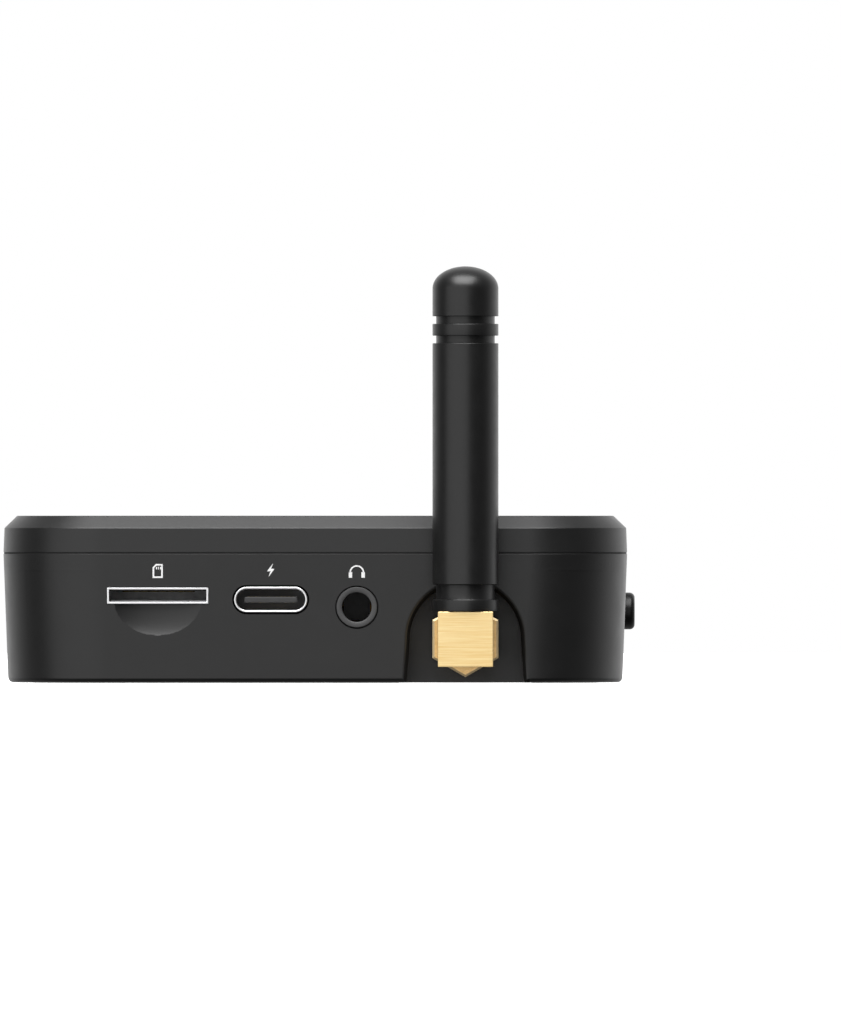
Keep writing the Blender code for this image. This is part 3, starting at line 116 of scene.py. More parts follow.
direction = nodes.new("ShaderNodeTexCoord")
depth = nodes.new("ShaderNodeVectorMath")
depth.operation = "DOT_PRODUCT"
depth.inputs[1].default_value = BRIGHT_SIDE
spread = nodes.new("ShaderNodeMapRange")
spread.inputs["From Min"].default_value = -1.0
surround = grey_ramp(AROUND)
level = nodes.new("ShaderNodeSeparateXYZ")
height = nodes.new("ShaderNodeMapRange")
height.inputs["From Min"].default_value = -1.0
fade = grey_ramp(UPWARDS)
faded = nodes.new("ShaderNodeMix")
faded.data_type = "RGBA"
faded.blend_type = "MULTIPLY"
faded.inputs["Factor"].default_value = 1.0
seen = nodes.new("ShaderNodeLightPath")
dim = nodes.new("ShaderNodeBackground")
white = nodes.new("ShaderNodeBackground")
white.inputs["Color"].default_value = (1.0, 1.0, 1.0, 1.0)
choice = nodes.new("ShaderNodeMixShader")
output = nodes.new("ShaderNodeOutputWorld")
links.new(direction.outputs["Generated"], depth.inputs[0])
links.new(depth.outputs["Value"], spread.inputs["Value"])
links.new(spread.outputs["Result"], surround.inputs["Fac"])
links.new(direction.outputs["Generated"], level.inputs["Vector"])
links.new(level.outputs["Z"], height.inputs["Value"])
links.new(height.outputs["Result"], fade.inputs["Fac"])
links.new(surround.outputs["Color"], faded.inputs[6])
links.new(fade.outputs["Color"], faded.inputs[7])
links.new(faded.outputs[2], dim.inputs["Color"])
links.new(seen.outputs["Is Camera Ray"], choice.inputs["Fac"])
links.new(dim.outputs["Background"], choice.inputs[1])
links.new(white.outputs["Background"], choice.inputs[2])
links.new(choice.outputs["Shader"], output.inputs["Surface"])

FLOOR_HALF = 2.0
FLOOR_SHIFT = -1.1
FLOOR_GAP = 0.02 * mm
floor_material = bpy.data.materials.new("pale_floor")
floor_material.use_nodes = True
pale = floor_material.node_tree.nodes["Principled BSDF"]
pale.inputs["Base Color"].default_value = (0.8, 0.8, 0.8, 1.0)
pale.inputs["Roughness"].default_value = 0.9
pale.inputs["Emission Color"].default_value = (1.0, 1.0, 1.0, 1.0)
pale.inputs["Emission Strength"].default_value = 1.0
bm = bmesh.new()
bmesh.ops.create_grid(bm, x_segments=1, y_segments=1, size=FLOOR_HALF)
bmesh.ops.translate(bm, vec=(0, FLOOR_SHIFT, -FLOOR_GAP), verts=bm.verts)
floor_mesh = bpy.data.meshes.new("floor")
bm.to_mesh(floor_mesh)
bm.free()
floor_mesh.materials.append(floor_material)
floor = bpy.data.objects.new("floor", floor_mesh)
floor.visible_glossy = False
floor.visible_diffuse = False
floor.visible_shadow = False
bpy.context.scene.collection.objects.link(floor)

# ------------------------------------------------------------------ case
# The lower half of the case: an injection-moulded tub in satin dark grey plastic with a spark-eroded grain.
# Its sides are drafted, its foot is rounded, and an arched bay in the port wall takes the antenna's plug.
WALL = 2.0 * mm
FLOOR = 2.2 * mm
CORNER = 12.0 * mm
DRAFT = 0.57 * mm
FOOT_ROUNDING = 0.6 * mm
RIM_ROUNDING = 0.05 * mm
FIT = 0.1 * mm
SLIDE_FIT = 0.15 * mm
CORNER_STEPS = 28
LEVEL_SLACK = 0.005 * mm
NEAR = 0.001 * mm

case_low, case_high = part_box("bottom_case")
mat_low, mat_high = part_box("base_mat")
seam = case_high.z
base = case_low.z


def case_half(z):
    """Half the outer width and half the outer depth of the lower case at height z."""
    inset = DRAFT * (seam - z) / (seam - base)
    return case_high.x - inset, case_high.y - inset


def middle(node):
    low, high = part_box(node)
    return (low + high) / 2


def size(node):
    low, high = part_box(node)
    return high - low


def level_edges(bm, level):
    return [e for e in bm.edges if all(abs(v.co.z - level) < LEVEL_SLACK for v in e.verts)]


def move(bm, offset):
    bmesh.ops.translate(bm, vec=offset, verts=bm.verts)


def turn(bm, degrees, axis):
    bmesh.ops.rotate(bm, matrix=Matrix.Rotation(math.radians(degrees), 3, axis), verts=bm.verts)


def resize(bm, factors):
    bmesh.ops.scale(bm, vec=factors, verts=bm.verts)


def bevel(bm, edges, width, steps):
    """Round edges off, or chamfer them in one step."""
    bmesh.ops.bevel(bm, geom=edges, offset=width, segments=steps, profile=0.5, affect="EDGES", material=-1)


def only_verts(made):
    return [g for g in made["geom"] if isinstance(g, bmesh.types.BMVert)]


def shape(name, bm):
    """An object from a finished bmesh, its faces turned outwards."""
    bmesh.ops.recalc_face_normals(bm, faces=bm.faces)
    mesh = bpy.data.meshes.new(name)
    bm.to_mesh(mesh)
    bm.free()
    made = bpy.data.objects.new(name, mesh)
    bpy.context.scene.collection.objects.link(made)
    return made


def rounded_block(low_half, high_half, low, high, corner):
    """A bmesh of a block with round upright corners, whose half sizes go from low_half up to high_half."""
    bm = bmesh.new()
    bmesh.ops.create_cube(bm, size=2.0)
    foot = [v for v in bm.verts if v.co.z < 0]
    head = [v for v in bm.verts if v.co.z > 0]
    bmesh.ops.scale(bm, vec=(*low_half, 1), verts=foot)
    bmesh.ops.scale(bm, vec=(*high_half, 1), verts=head)
    bmesh.ops.translate(bm, vec=(0, 0, low + 1), verts=foot)
    bmesh.ops.translate(bm, vec=(0, 0, high - 1), verts=head)
    upright = [e for e in bm.edges if abs(e.verts[0].co.z - e.verts[1].co.z) > (high - low) / 2]
    bevel(bm, upright, corner, CORNER_STEPS)
    return bm


def block_bmesh(centre, extent):
    bm = bmesh.new()
    bmesh.ops.create_cube(bm, size=1.0)
    resize(bm, extent)
    move(bm, centre)
    return bm


def block(centre, extent):
    """A plain box for cutting and joining."""
    return shape("block", block_bmesh(centre, extent))


def rod(radius, start, end, sides=48):
    """A round rod from one point to another, for cutting and joining."""
    bm = bmesh.new()
    along = Vector(end) - Vector(start)
    bmesh.ops.create_cone(bm, cap_ends=True, segments=sides, radius1=radius, radius2=radius,
                          depth=along.length)
    bmesh.ops.rotate(bm, matrix=along.to_track_quat("Z", "Y").to_matrix(), verts=bm.verts)
    move(bm, (Vector(start) + Vector(end)) / 2)
    return shape("rod", bm)


def pill_bmesh(width, height, steps=24):
    """A flat slot outline with round ends, one face in X and Z."""
    bm = bmesh.new()
    bmesh.ops.create_circle(bm, cap_ends=True, segments=4 * steps, radius=height / 2)
    right = [v for v in bm.verts if v.co.x > NEAR]
    left = [v for v in bm.verts if v.co.x < -NEAR]
    centre = [v for v in bm.verts if abs(v.co.x) <= NEAR]
    reach = (width - height) / 2
    bmesh.ops.translate(bm, vec=(reach, 0, 0), verts=right)
    bmesh.ops.translate(bm, vec=(-reach, 0, 0), verts=left)
    bmesh.ops.dissolve_verts(bm, verts=centre)
    turn(bm, 90, "X")
    return bm


def deepen(bm, depths):
    """Draw a flat outline in X and Z out to a solid. depths holds (y, scale) for each ring of the solid."""
    front = bm.faces[:]
    y, scale = depths[0]
    resize(bm, (scale, 1, scale))
    move(bm, (0, y, 0))
    for next_y, next_scale in depths[1:]:
        drawn = bmesh.ops.extrude_face_region(bm, geom=front)
        if (y, scale) != depths[0]:
            bmesh.ops.delete(bm, geom=front, context="FACES_ONLY")
        verts = only_verts(drawn)
        front = [g for g in drawn["geom"] if isinstance(g, bmesh.types.BMFace)]
        bmesh.ops.scale(bm, vec=(next_scale / scale, 1, next_scale / scale), verts=verts)
        bmesh.ops.translate(bm, vec=(0, next_y - y, 0), verts=verts)
        y, scale = next_y, next_scale
    return bm


def combine(target, operation, others):
    """Cut the others out of the target or join them to it, work the result out, and clear the others away."""
    for other in others:
        step = target.modifiers.new("combine", "BOOLEAN")
        step.operation = operation
        step.object = other
    bpy.context.view_layer.update()
    worked = target.evaluated_get(bpy.context.evaluated_depsgraph_get())
    mesh = bpy.data.meshes.new_from_object(worked)
    target.modifiers.clear()
    target.data = mesh
    for other in others:
        bpy.data.objects.remove(other)


def arch_bmesh(radius, drop, splay):
    """A flat round arch in X and Z, centred on its round part, with legs that spread a little downwards."""
    bm = bmesh.new()
    bmesh.ops.create_circle(bm, cap_ends=True, segments=120, radius=radius)
    everything = bm.verts[:] + bm.edges[:] + bm.faces[:]
    cut = bmesh.ops.bisect_plane(bm, geom=everything, plane_no=(0, -1, 0), clear_outer=True)
    foot = [g for g in cut["geom_cut"] if isinstance(g, bmesh.types.BMEdge)]
    legs = bmesh.ops.extrude_edge_only(bm, edges=foot)
    verts = only_verts(legs)
    bmesh.ops.translate(bm, vec=(0, -drop, 0), verts=verts)
    bmesh.ops.scale(bm, vec=((radius + splay) / radius, 1, 1), verts=verts)
    bmesh.ops.dissolve_faces(bm, faces=bm.faces[:])
    turn(bm, 90, "X")
    return bm


def finish_piece(piece, material, body, slot_name, *stands_for, sharp=32, even=True):
    """Shade a piece, give it its material, hang it on its body and hide the CAD parts that it stands for."""
    piece.data.materials.clear()
    piece.data.materials.append(material)
    piece.data.shade_smooth()
    piece.data.set_sharp_from_angle(angle=math.radians(sharp))
    if even:
        weighting = piece.modifiers.new("even shading", "WEIGHTED_NORMAL")
        weighting.keep_sharp = True
    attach(piece, body)
    if stands_for:
        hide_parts(*stands_for)


def new_material(name, colour, roughness, metallic=0.0, specular=0.5, transmission=0.0):
    """A material of one colour, with its numbers on the shader's own sockets."""
    made = bpy.data.materials.new(name)
    made.use_nodes = True
    sockets = made.node_tree.nodes["Principled BSDF"].inputs
    for socket, value in (("Base Color", (*colour, 1.0)), ("Roughness", roughness), ("Metallic", metallic),
                          ("Specular IOR Level", specular), ("Transmission Weight", transmission)):
        sockets[socket].default_value = value
    return made


def noise_field(material, scale, stretch=(1, 1, 1), detail=3.0, roughness=0.55):
    """Noise on object coordinates. Scale is in features a metre, and stretch squeezes it along an axis."""
    nodes, links = material.node_tree.nodes, material.node_tree.links
    place = nodes.new("ShaderNodeTexCoord")
    mapping = nodes.new("ShaderNodeMapping")
    mapping.inputs["Scale"].default_value = stretch
    noise = nodes.new("ShaderNodeTexNoise")
    noise.inputs["Scale"].default_value = scale
    noise.inputs["Detail"].default_value = detail
    noise.inputs["Roughness"].default_value = roughness
    links.new(place.outputs["Object"], mapping.inputs["Vector"])
    links.new(mapping.outputs["Vector"], noise.inputs["Vector"])
    return noise.outputs["Fac"]


def vary_roughness(material, scale, low, high, **pattern):
    """Spread the roughness from low to high over a noise field."""
    nodes, links = material.node_tree.nodes, material.node_tree.links
    spread = nodes.new("ShaderNodeMapRange")
    spread.inputs["From Min"].default_value = 0.3
    spread.inputs["From Max"].default_value = 0.7
    spread.inputs["To Min"].default_value = low
    spread.inputs["To Max"].default_value = high
    links.new(noise_field(material, scale, **pattern), spread.inputs["Value"])
    links.new(spread.outputs["Result"], nodes["Principled BSDF"].inputs["Roughness"])


def vary_colour(material, scale, dark, light, **pattern):
    """Spread the colour from dark to light over a noise field."""
    nodes, links = material.node_tree.nodes, material.node_tree.links
    ramp = nodes.new("ShaderNodeValToRGB")
    ramp.color_ramp.elements[0].position = 0.3
    ramp.color_ramp.elements[0].color = (*dark, 1.0)
    ramp.color_ramp.elements[1].position = 0.7
    ramp.color_ramp.elements[1].color = (*light, 1.0)
    links.new(noise_field(material, scale, **pattern), ramp.inputs["Fac"])
    links.new(ramp.outputs["Color"], nodes["Principled BSDF"].inputs["Base Color"])


def raise_grain(material, scale, height, strength, **pattern):
    """Bump of a real height in metres, over a noise field."""
    nodes, links = material.node_tree.nodes, material.node_tree.links
    bump = nodes.new("ShaderNodeBump")
    bump.inputs["Strength"].default_value = strength
    bump.inputs["Distance"].default_value = height
    links.new(noise_field(material, scale, **pattern), bump.inputs["Height"])
    links.new(bump.outputs["Normal"], nodes["Principled BSDF"].inputs["Normal"])


case_material = new_material("case_satin_plastic", (0.006, 0.006, 0.0061), 0.38)
vary_colour(case_material, 60, (0.0054, 0.0054, 0.0055), (0.0066, 0.0066, 0.0067))
vary_roughness(case_material, 400, 0.36, 0.40)
raise_grain(case_material, 9000, 0.004 * mm, 0.35, detail=2.0)

bm = rounded_block(case_half(base), case_half(seam), base, seam, CORNER)
bevel(bm, level_edges(bm, base), FOOT_ROUNDING, 5)
bevel(bm, level_edges(bm, seam), RIM_ROUNDING, 3)
tub = shape("case_tub", bm)

floor_top = base + FLOOR
above = seam + WALL
cavity = rounded_block([half - WALL for half in case_half(floor_top)], [half - WALL for half in case_half(above)],
                       floor_top, above, CORNER - WALL)
combine(tub, "DIFFERENCE", [shape("cavity", cavity)])

# The wall round the bay, the four screw posts, and then every opening.
BAY_FINGER_ROOM = 2.1312 * mm
BAY_WALL = 1.6 * mm
BAY_SPLAY = 0.35 * mm
BAY_EDGE = 0.66 * mm
BAY_FLARE = 1.3 * BAY_EDGE
BAY_ROOT = 0.6 * WALL
ROUNDING_STEPS = 7
POST_RADIUS = 3.0 * mm
THREAD_RADIUS = 3.12 * mm

nut_middle = middle("coupling_nut")
nut_corner = size("coupling_nut").z / 2
bay_radius = nut_corner + BAY_FINGER_ROOM
bay_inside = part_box("sma_lock_washer")[0].y - FIT
bay_back = bay_inside - BAY_WALL
screws = [middle(f"case_screw_{i}") for i in (1, 2, 3, 4)]
floor_middle = base + FLOOR / 2
post_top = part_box("circuit_board")[0].z - FIT


def in_bay(bm):
    move(bm, (nut_middle.x, 0, nut_middle.z))
    return bm


bay_wall = in_bay(deepen(arch_bmesh(bay_radius + BAY_WALL, nut_middle.z - floor_middle, 0),
                         [(port_wall_y + BAY_ROOT, 1), (bay_inside, 1)]))
posts = [rod(POST_RADIUS, (s.x, s.y, floor_middle), (s.x, s.y, post_top)) for s in screws]
combine(tub, "UNION", [shape("bay_wall", bay_wall)] + posts)

bay_space = in_bay(deepen(arch_bmesh(bay_radius, 2 * nut_middle.z, 2 * BAY_SPLAY),
                          [(port_wall_y - WALL, 1), (bay_back, 1)]))
rings = [(-BAY_EDGE, (bay_radius + BAY_FLARE) / bay_radius)]
for i in range(ROUNDING_STEPS + 1):
    angle = math.radians(90 * i / ROUNDING_STEPS)
    depth_in = BAY_EDGE * (1 - math.cos(angle))
    across = BAY_EDGE * (1 - math.sin(angle))
    rings.append((depth_in, (bay_radius + across) / bay_radius))
rings.append((2 * BAY_EDGE, 1))
bay_mouth = deepen(arch_bmesh(bay_radius, 2 * nut_middle.z, 2 * BAY_SPLAY), rings)
lean = Matrix.Identity(4)
lean[1][2] = -DRAFT / (seam - base)
bmesh.ops.transform(bay_mouth, matrix=lean, verts=bay_mouth.verts)
move(bay_mouth, (0, -case_half(nut_middle.z)[1], 0))
combine(tub, "DIFFERENCE", [shape("bay_space", bay_space), shape("bay_mouth", in_bay(bay_mouth))])

bezel_size, bezel_middle = size("tf_slot_bezel"), middle("tf_slot_bezel")
usb_size, usb_middle = size("usb_c_shell"), middle("usb_c_shell")
aux_middle = middle("aux_jack_housing")
button_middle = middle("side_button")
jack_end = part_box("sma_jack_nut")[1].y + FIT
AUX_BARREL = 2.48 * mm
BUTTON_LENGTH = 11.0 * mm
BUTTON_HEIGHT = 4.5 * mm
LIGHT_RADIUS = 1.0 * mm
JACK_NUT_WIDTH = 8.0 * mm
led_height = middle("status_led").z

slot_hole = block((bezel_middle.x, port_wall_y, bezel_middle.z), (bezel_size.x + FIT, 4 * WALL, bezel_size.z + FIT))
usb_hole = deepen(pill_bmesh(usb_size.x + 4 * FIT, usb_size.z + 4 * FIT), [(-2 * WALL, 1), (2 * WALL, 1)])
move(usb_hole, (usb_middle.x, port_wall_y, usb_middle.z))
aux_hole = rod(AUX_BARREL + SLIDE_FIT, (aux_middle.x, port_wall_y - WALL, aux_middle.z),
               (aux_middle.x, port_wall_y + 2 * WALL, aux_middle.z), 72)
button_hole = deepen(pill_bmesh(BUTTON_LENGTH + 2 * SLIDE_FIT, BUTTON_HEIGHT + 2 * SLIDE_FIT),
                     [(-2 * WALL, 1), (2 * WALL, 1)])
turn(button_hole, 90, "Z")
move(button_hole, (case_high.x, 0, button_middle.z))
light_hole = rod(LIGHT_RADIUS + FIT, (0, case_high.y - 2 * WALL, led_height), (0, case_high.y + WALL, led_height))
jack_hole = rod(THREAD_RADIUS + FIT, (nut_middle.x, bay_back - BAY_WALL, nut_middle.z),
                (nut_middle.x, bay_inside + BAY_WALL, nut_middle.z))
jack_nut_size = size("sma_jack_nut")
pocket_end = jack_end + 5 * FIT
nut_pocket = block((nut_middle.x, (bay_inside + pocket_end) / 2, nut_middle.z - SLIDE_FIT - jack_nut_size.z / 2
                    + FLOOR / 2), (JACK_NUT_WIDTH + 2 * SLIDE_FIT, pocket_end - bay_inside, FLOOR))
combine(tub, "DIFFERENCE", [slot_hole, shape("usb_hole", usb_hole), aux_hole, shape("button_hole", button_hole),
                            light_hole, jack_hole, nut_pocket])

# A narrow step behind the seam, which leaves it a shallow groove with no light through it.
SEAM_DEPTH = 0.07 * mm
STEP_HEIGHT = 0.19 * mm
step_low = seam - WALL
step_half = [half - SEAM_DEPTH for half in case_half(seam)]
hollow_half = [half - WALL for half in case_half(seam)]
step = shape("step", rounded_block(step_half, step_half, step_low, seam + STEP_HEIGHT, CORNER - SEAM_DEPTH))
step_hollow = rounded_block(hollow_half, hollow_half, step_low - WALL, seam + WALL, CORNER - WALL)
combine(step, "DIFFERENCE", [shape("step_hollow", step_hollow)])
combine(tub, "UNION", [step])

# The mat's recess, and the stepped holes that the case screws go up through.
MAT_CORNER = 9.0 * mm
NOTCH_MARGIN = 1.3 * mm
SHANK_RADIUS = 1.1 * mm
HEAD_RADIUS = 2.2 * mm
HEAD_HEIGHT = 1.5 * mm


def mat_blank(grow, low, high):
    """A rounded sheet with a notch round the bay: the mat itself, or the recess that it lies in."""
    half = (mat_high.x + grow, mat_high.y + grow)
    sheet = shape("mat", rounded_block(half, half, low, high, MAT_CORNER + grow))
    notch_half = bay_radius + NOTCH_MARGIN - grow
    notch_back = jack_end + NOTCH_MARGIN - grow
    notch = block((nut_middle.x, (notch_back + port_wall_y) / 2, (low + high) / 2),
                  (2 * notch_half, notch_back - port_wall_y, 3 * (high - low)))
    combine(sheet, "DIFFERENCE", [notch])
    return sheet


recess = mat_blank(FIT, base - WALL, mat_high.z + FIT)
head_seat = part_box("case_screw_1")[0].z + HEAD_HEIGHT
head_holes = [rod(HEAD_RADIUS + FIT, (s.x, s.y, -WALL), (s.x, s.y, head_seat)) for s in screws]
shank_holes = [rod(SHANK_RADIUS + FIT, (s.x, s.y, 0), (s.x, s.y, 2 * post_top)) for s in screws]
combine(tub, "DIFFERENCE", [recess] + head_holes + shank_holes)

# The finger scoop below the card slot, a shallow hollow with a round lower rim.
SCOOP_WIDTH = 10.8 * mm
SCOOP_DROP = 4.35 * mm
SCOOP_DEPTH = 0.75 * mm
SCOOP_LEAD = 0.7
bm = bmesh.new()
bmesh.ops.create_uvsphere(bm, u_segments=160, v_segments=96, radius=1.0)
everything = bm.verts[:] + bm.edges[:] + bm.faces[:]
sliced = bmesh.ops.bisect_plane(bm, geom=everything, plane_no=(0, 0, 1), clear_outer=True)
rim = [g for g in sliced["geom_cut"] if isinstance(g, bmesh.types.BMEdge)]
bmesh.ops.contextual_create(bm, geom=rim)
move(bm, (0, -SCOOP_LEAD, 0))
spread = math.sqrt(1 - SCOOP_LEAD ** 2)
resize(bm, (SCOOP_WIDTH / 2 / spread, SCOOP_DEPTH / (1 - SCOOP_LEAD), SCOOP_DROP / spread))
slot_foot = bezel_middle.z - bezel_size.z / 2
move(bm, (bezel_middle.x, -case_half(bezel_middle.z)[1], slot_foot))
combine(tub, "DIFFERENCE", [shape("finger_scoop", bm)])
finish_piece(tub, case_material, "case", "case_plastic", "bottom_case", sharp=24)

# The rounded mouth of the bay and the seam's step get a darker, matt plastic with less sheen than the satin outside:
# painted shade in the bay's mouth and in the seam groove.
# Painted shade: a darker plastic with little sheen on the bay's rounded mouth, standing for the shade inside the
# bay.
bay_shade_material = new_material("case_bay_painted_shade", (0.004, 0.004, 0.004), 0.75, specular=0.15)
vary_roughness(bay_shade_material, 600, 0.7, 0.8)
raise_grain(bay_shade_material, 6000, 0.006 * mm, 0.5)
# Painted shade: a slightly darker plastic with less sheen on the seam's step and the tub's rim, which darkens the
# seam groove.
seam_shade_material = new_material("case_seam_painted_shade", (0.0055, 0.0055, 0.0055), 0.6, specular=0.35)
vary_roughness(seam_shade_material, 600, 0.55, 0.65)
tub.data.materials.append(bay_shade_material)
tub.data.materials.append(seam_shade_material)
SKIN = 0.05 * mm
bay_reach = bay_radius + BAY_FLARE + SKIN
for face in tub.data.polygons:
    spot = face.center
    below = max(nut_middle.z - spot.z, 0.0)
    reach = bay_reach + BAY_SPLAY * below / nut_middle.z
    from_middle = math.hypot(spot.x - nut_middle.x, max(spot.z - nut_middle.z, 0.0))
    depth_in = case_half(spot.z)[1] + spot.y
    in_the_bay = from_middle < reach and SKIN < depth_in < BAY_EDGE + SKIN
    if in_the_bay:
        # Faces of the bay's rounded mouth get the painted shade.
        face.material_index = 1
    elif spot.z > seam - NEAR:
        # Faces at the seam get the seam groove's painted shade.
        face.material_index = 2

# ------------------------------------------------------------------ cover
# The lid: the same grained plastic, with a broad chamfer round its top, a lip that locates it in the tub and
# four bosses that take the case screws.
COVER_DRAFT = 0.17 * mm
CHAMFER = 1.5 * mm
CHAMFER_EDGE = 0.07 * mm
LIP_WALL = 0.9 * mm
LIP_DEPTH = 1.5 * mm
ROOF = 1.8 * mm
BOSS_RADIUS = 2.7 * mm
BOSS_SKIN = 1.0 * mm
SEAM_GAP = 0.2 * mm

cover_low, cover_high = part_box("top_cover")
cover_foot = seam + SEAM_GAP
cover_top = cover_high.z
high_half = (cover_high.x - COVER_DRAFT, cover_high.y - COVER_DRAFT)
bm = rounded_block((cover_high.x, cover_high.y), high_half, cover_foot, cover_top, CORNER)
bevel(bm, level_edges(bm, cover_top), CHAMFER, 1)
chamfer_foot = max(v.co.z for v in bm.verts if v.co.z < cover_top - CHAMFER / 2)
for level in (cover_top, chamfer_foot):
    bevel(bm, level_edges(bm, level), CHAMFER_EDGE, 3)
bevel(bm, level_edges(bm, cover_foot), RIM_ROUNDING, 3)
cover = shape("case_cover", bm)
lip_inset = WALL + SLIDE_FIT
lip_half = [half - lip_inset for half in case_half(seam - LIP_DEPTH)]
lip = rounded_block(lip_half, lip_half, seam - LIP_DEPTH, cover_top - ROOF, CORNER - lip_inset)
combine(cover, "UNION", [shape("lip", lip)])
relief = in_bay(deepen(arch_bmesh(bay_radius + BAY_WALL + FIT, nut_middle.z, 0),
                       [(port_wall_y, 1), (bay_inside + FIT, 1)]))
combine(cover, "DIFFERENCE", [shape("lip_relief", relief)])
hollow_half = [half - LIP_WALL for half in lip_half]
hollow = rounded_block(hollow_half, hollow_half, seam - 2 * LIP_DEPTH, cover_top - ROOF,
                       CORNER - lip_inset - LIP_WALL)
combine(cover, "DIFFERENCE", [shape("hollow", hollow)])
boss_foot = cover_low.z
bosses = [rod(BOSS_RADIUS, (s.x, s.y, boss_foot), (s.x, s.y, cover_top - ROOF / 2)) for s in screws]
combine(cover, "UNION", bosses)
pilots = [rod(SHANK_RADIUS + FIT / 2, (s.x, s.y, boss_foot - WALL), (s.x, s.y, cover_top - BOSS_SKIN))
          for s in screws]
combine(cover, "DIFFERENCE", pilots)
finish_piece(cover, case_material, "case", "case_plastic", "top_cover", sharp=24)

# ------------------------------------------------------------------ mat
# A die-cut sheet of matt black rubber that keeps the receiver from slipping. It is glued into the recess under
# the case, over the screw holes, and stands a little proud.
mat_material = new_material("mat_rubber", (0.012, 0.012, 0.012), 0.85)
vary_colour(mat_material, 900, (0.010, 0.010, 0.010), (0.016, 0.016, 0.016))
raise_grain(mat_material, 5000, 0.02 * mm, 0.6)
mat = mat_blank(0.0, mat_low.z, mat_high.z)
mat.name = "foot_mat"
finish_piece(mat, mat_material, "case", "mat_rubber", "base_mat")

# ------------------------------------------------------------------ screws
# Four self-tapping steel screws with a cross recess, cold-headed and thread-rolled. They go up through the
# posts into the cover's bosses, heads down in the holes under the mat.
steel_material = new_material("bright_steel", (0.60, 0.61, 0.62), 0.3, 1.0)
vary_roughness(steel_material, 1500, 0.24, 0.38)
raise_grain(steel_material, 8000, 0.002 * mm, 0.4)


def repaint(material, slot_name, *node_names):
    """Give CAD nodes that keep their own shape their finish."""
    for node_name in node_names:
        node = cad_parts[node_name]
        node.data.materials.clear()
        node.data.materials.append(material)


repaint(steel_material, "steel", "case_screw_1", "case_screw_2", "case_screw_3", "case_screw_4",
        "switch_plate", "switch_dome", "tf_slider_spring", "sma_lock_washer",
        "nut_retaining_ring", "bluetooth_module_shield", "clock_crystal")

# ------------------------------------------------------------------ port marks
# Small signs over the ports, pad-printed in white ink on the port wall: a card, a charging bolt and
# headphones.
INK_HEIGHT = 0.02 * mm
INK_LINE = 0.2 * mm
CARD_MARK_HEIGHT = 13.6 * mm
BOLT_MARK_HEIGHT = 13.7 * mm
HEADPHONES_HEIGHT = 13.4 * mm
ink_material = new_material("white_ink", (0.80, 0.80, 0.80), 0.5)
vary_colour(ink_material, 6000, (0.70, 0.70, 0.70), (0.86, 0.86, 0.86))


def flat_outline(points):
    """A one-face bmesh in X and Z through a few corner points in millimetres."""
    bm = bmesh.new()
    bm.faces.new([bm.verts.new((x * mm, 0, z * mm)) for x, z in points])
    bm.normal_update()
    return bm


def draw_back(bm, depth):
    """Give a flat outline in X and Z a thickness towards +Y."""
    drawn = bmesh.ops.extrude_face_region(bm, geom=bm.faces[:])
    bmesh.ops.translate(bm, vec=(0, depth, 0), verts=only_verts(drawn))


def print_mark(name, outlines, x, z):
    """Print flat outlines on the port wall as thin ink, leaning with the wall, centred on x and z."""
    merged = bmesh.new()
    for outline in outlines:
        draw_back(outline, 2 * INK_HEIGHT)
        piece = bpy.data.meshes.new("mark")
        outline.to_mesh(piece)
        outline.free()
        merged.from_mesh(piece)
        bpy.data.meshes.remove(piece)
    bmesh.ops.transform(merged, matrix=lean, verts=merged.verts)
    move(merged, (x, -case_half(z)[1] - INK_HEIGHT, z))
    finish_piece(shape(name, merged), ink_material, "case", "white_insulator", even=False)


def border_of(outline, width):
    """Keep only the border of a flat outline, as wide as asked."""
    inside = outline.faces[:]
    bmesh.ops.inset_region(outline, faces=inside, thickness=width, use_even_offset=True, use_boundary=True)
    bmesh.ops.delete(outline, geom=inside, context="FACES_ONLY")
    return outline


card = border_of(flat_outline([(-0.62, -0.85), (0.62, -0.85), (0.62, 0.85), (-0.22, 0.85), (-0.62, 0.45)]), INK_LINE)
ticks = [flat_outline([(x - 0.06, 0.18), (x + 0.06, 0.18), (x + 0.06, 0.5), (x - 0.06, 0.5)])
         for x in (-0.14, 0.1, 0.34)]
print_mark("mark_card", [card] + ticks, bezel_middle.x, CARD_MARK_HEIGHT)

bolt = flat_outline([(-0.45, -0.14), (-0.02, -0.14), (-0.28, -0.85), (0.45, 0.16), (0.04, 0.16), (0.3, 0.85)])
print_mark("mark_bolt", [bolt], usb_middle.x, BOLT_MARK_HEIGHT)

band = bmesh.new()
arm = [band.verts.new((x * mm, 0, 0)) for x in (0.72, 0.9)]
arm_edge = band.edges.new(arm)
bmesh.ops.spin(band, geom=arm + [arm_edge], cent=(0, 0, 0), axis=(0, -1, 0), dvec=(0, 0, 0),
               angle=math.pi, steps=24, use_merge=False, use_duplicate=False)
cups = [flat_outline([(side * 0.98, -0.62), (side * 0.56, -0.62), (side * 0.56, 0.06), (side * 0.98, 0.06)])
        for side in (-1, 1)]
print_mark("mark_headphones", [band] + cups, aux_middle.x, HEADPHONES_HEIGHT)

# ------------------------------------------------------------------ card slot
# A bright stamped bezel pressed into the wall, and behind it the push-push card socket: a steel shell on the
# board's underside, a black base, a comb of gilt fingers and the slider that pushes the card out.
BEZEL_RIM = 0.24 * mm
BEZEL_EDGE = 0.05 * mm
RIM_ANGLE = math.radians(60)

rim_material = new_material("bright_rim", (0.86, 0.86, 0.87), 0.34, 1.0)
vary_roughness(rim_material, 2500, 0.3, 0.4)
raise_grain(rim_material, 12000, 0.001 * mm, 0.4)

black_material = new_material("black_plastic", (0.015, 0.015, 0.015), 0.5)
vary_roughness(black_material, 2000, 0.45, 0.58)
raise_grain(black_material, 7000, 0.003 * mm, 0.4)

gilt_material = new_material("gilt_contacts", (0.92, 0.70, 0.33), 0.3, 1.0)
vary_roughness(gilt_material, 3000, 0.24, 0.36)

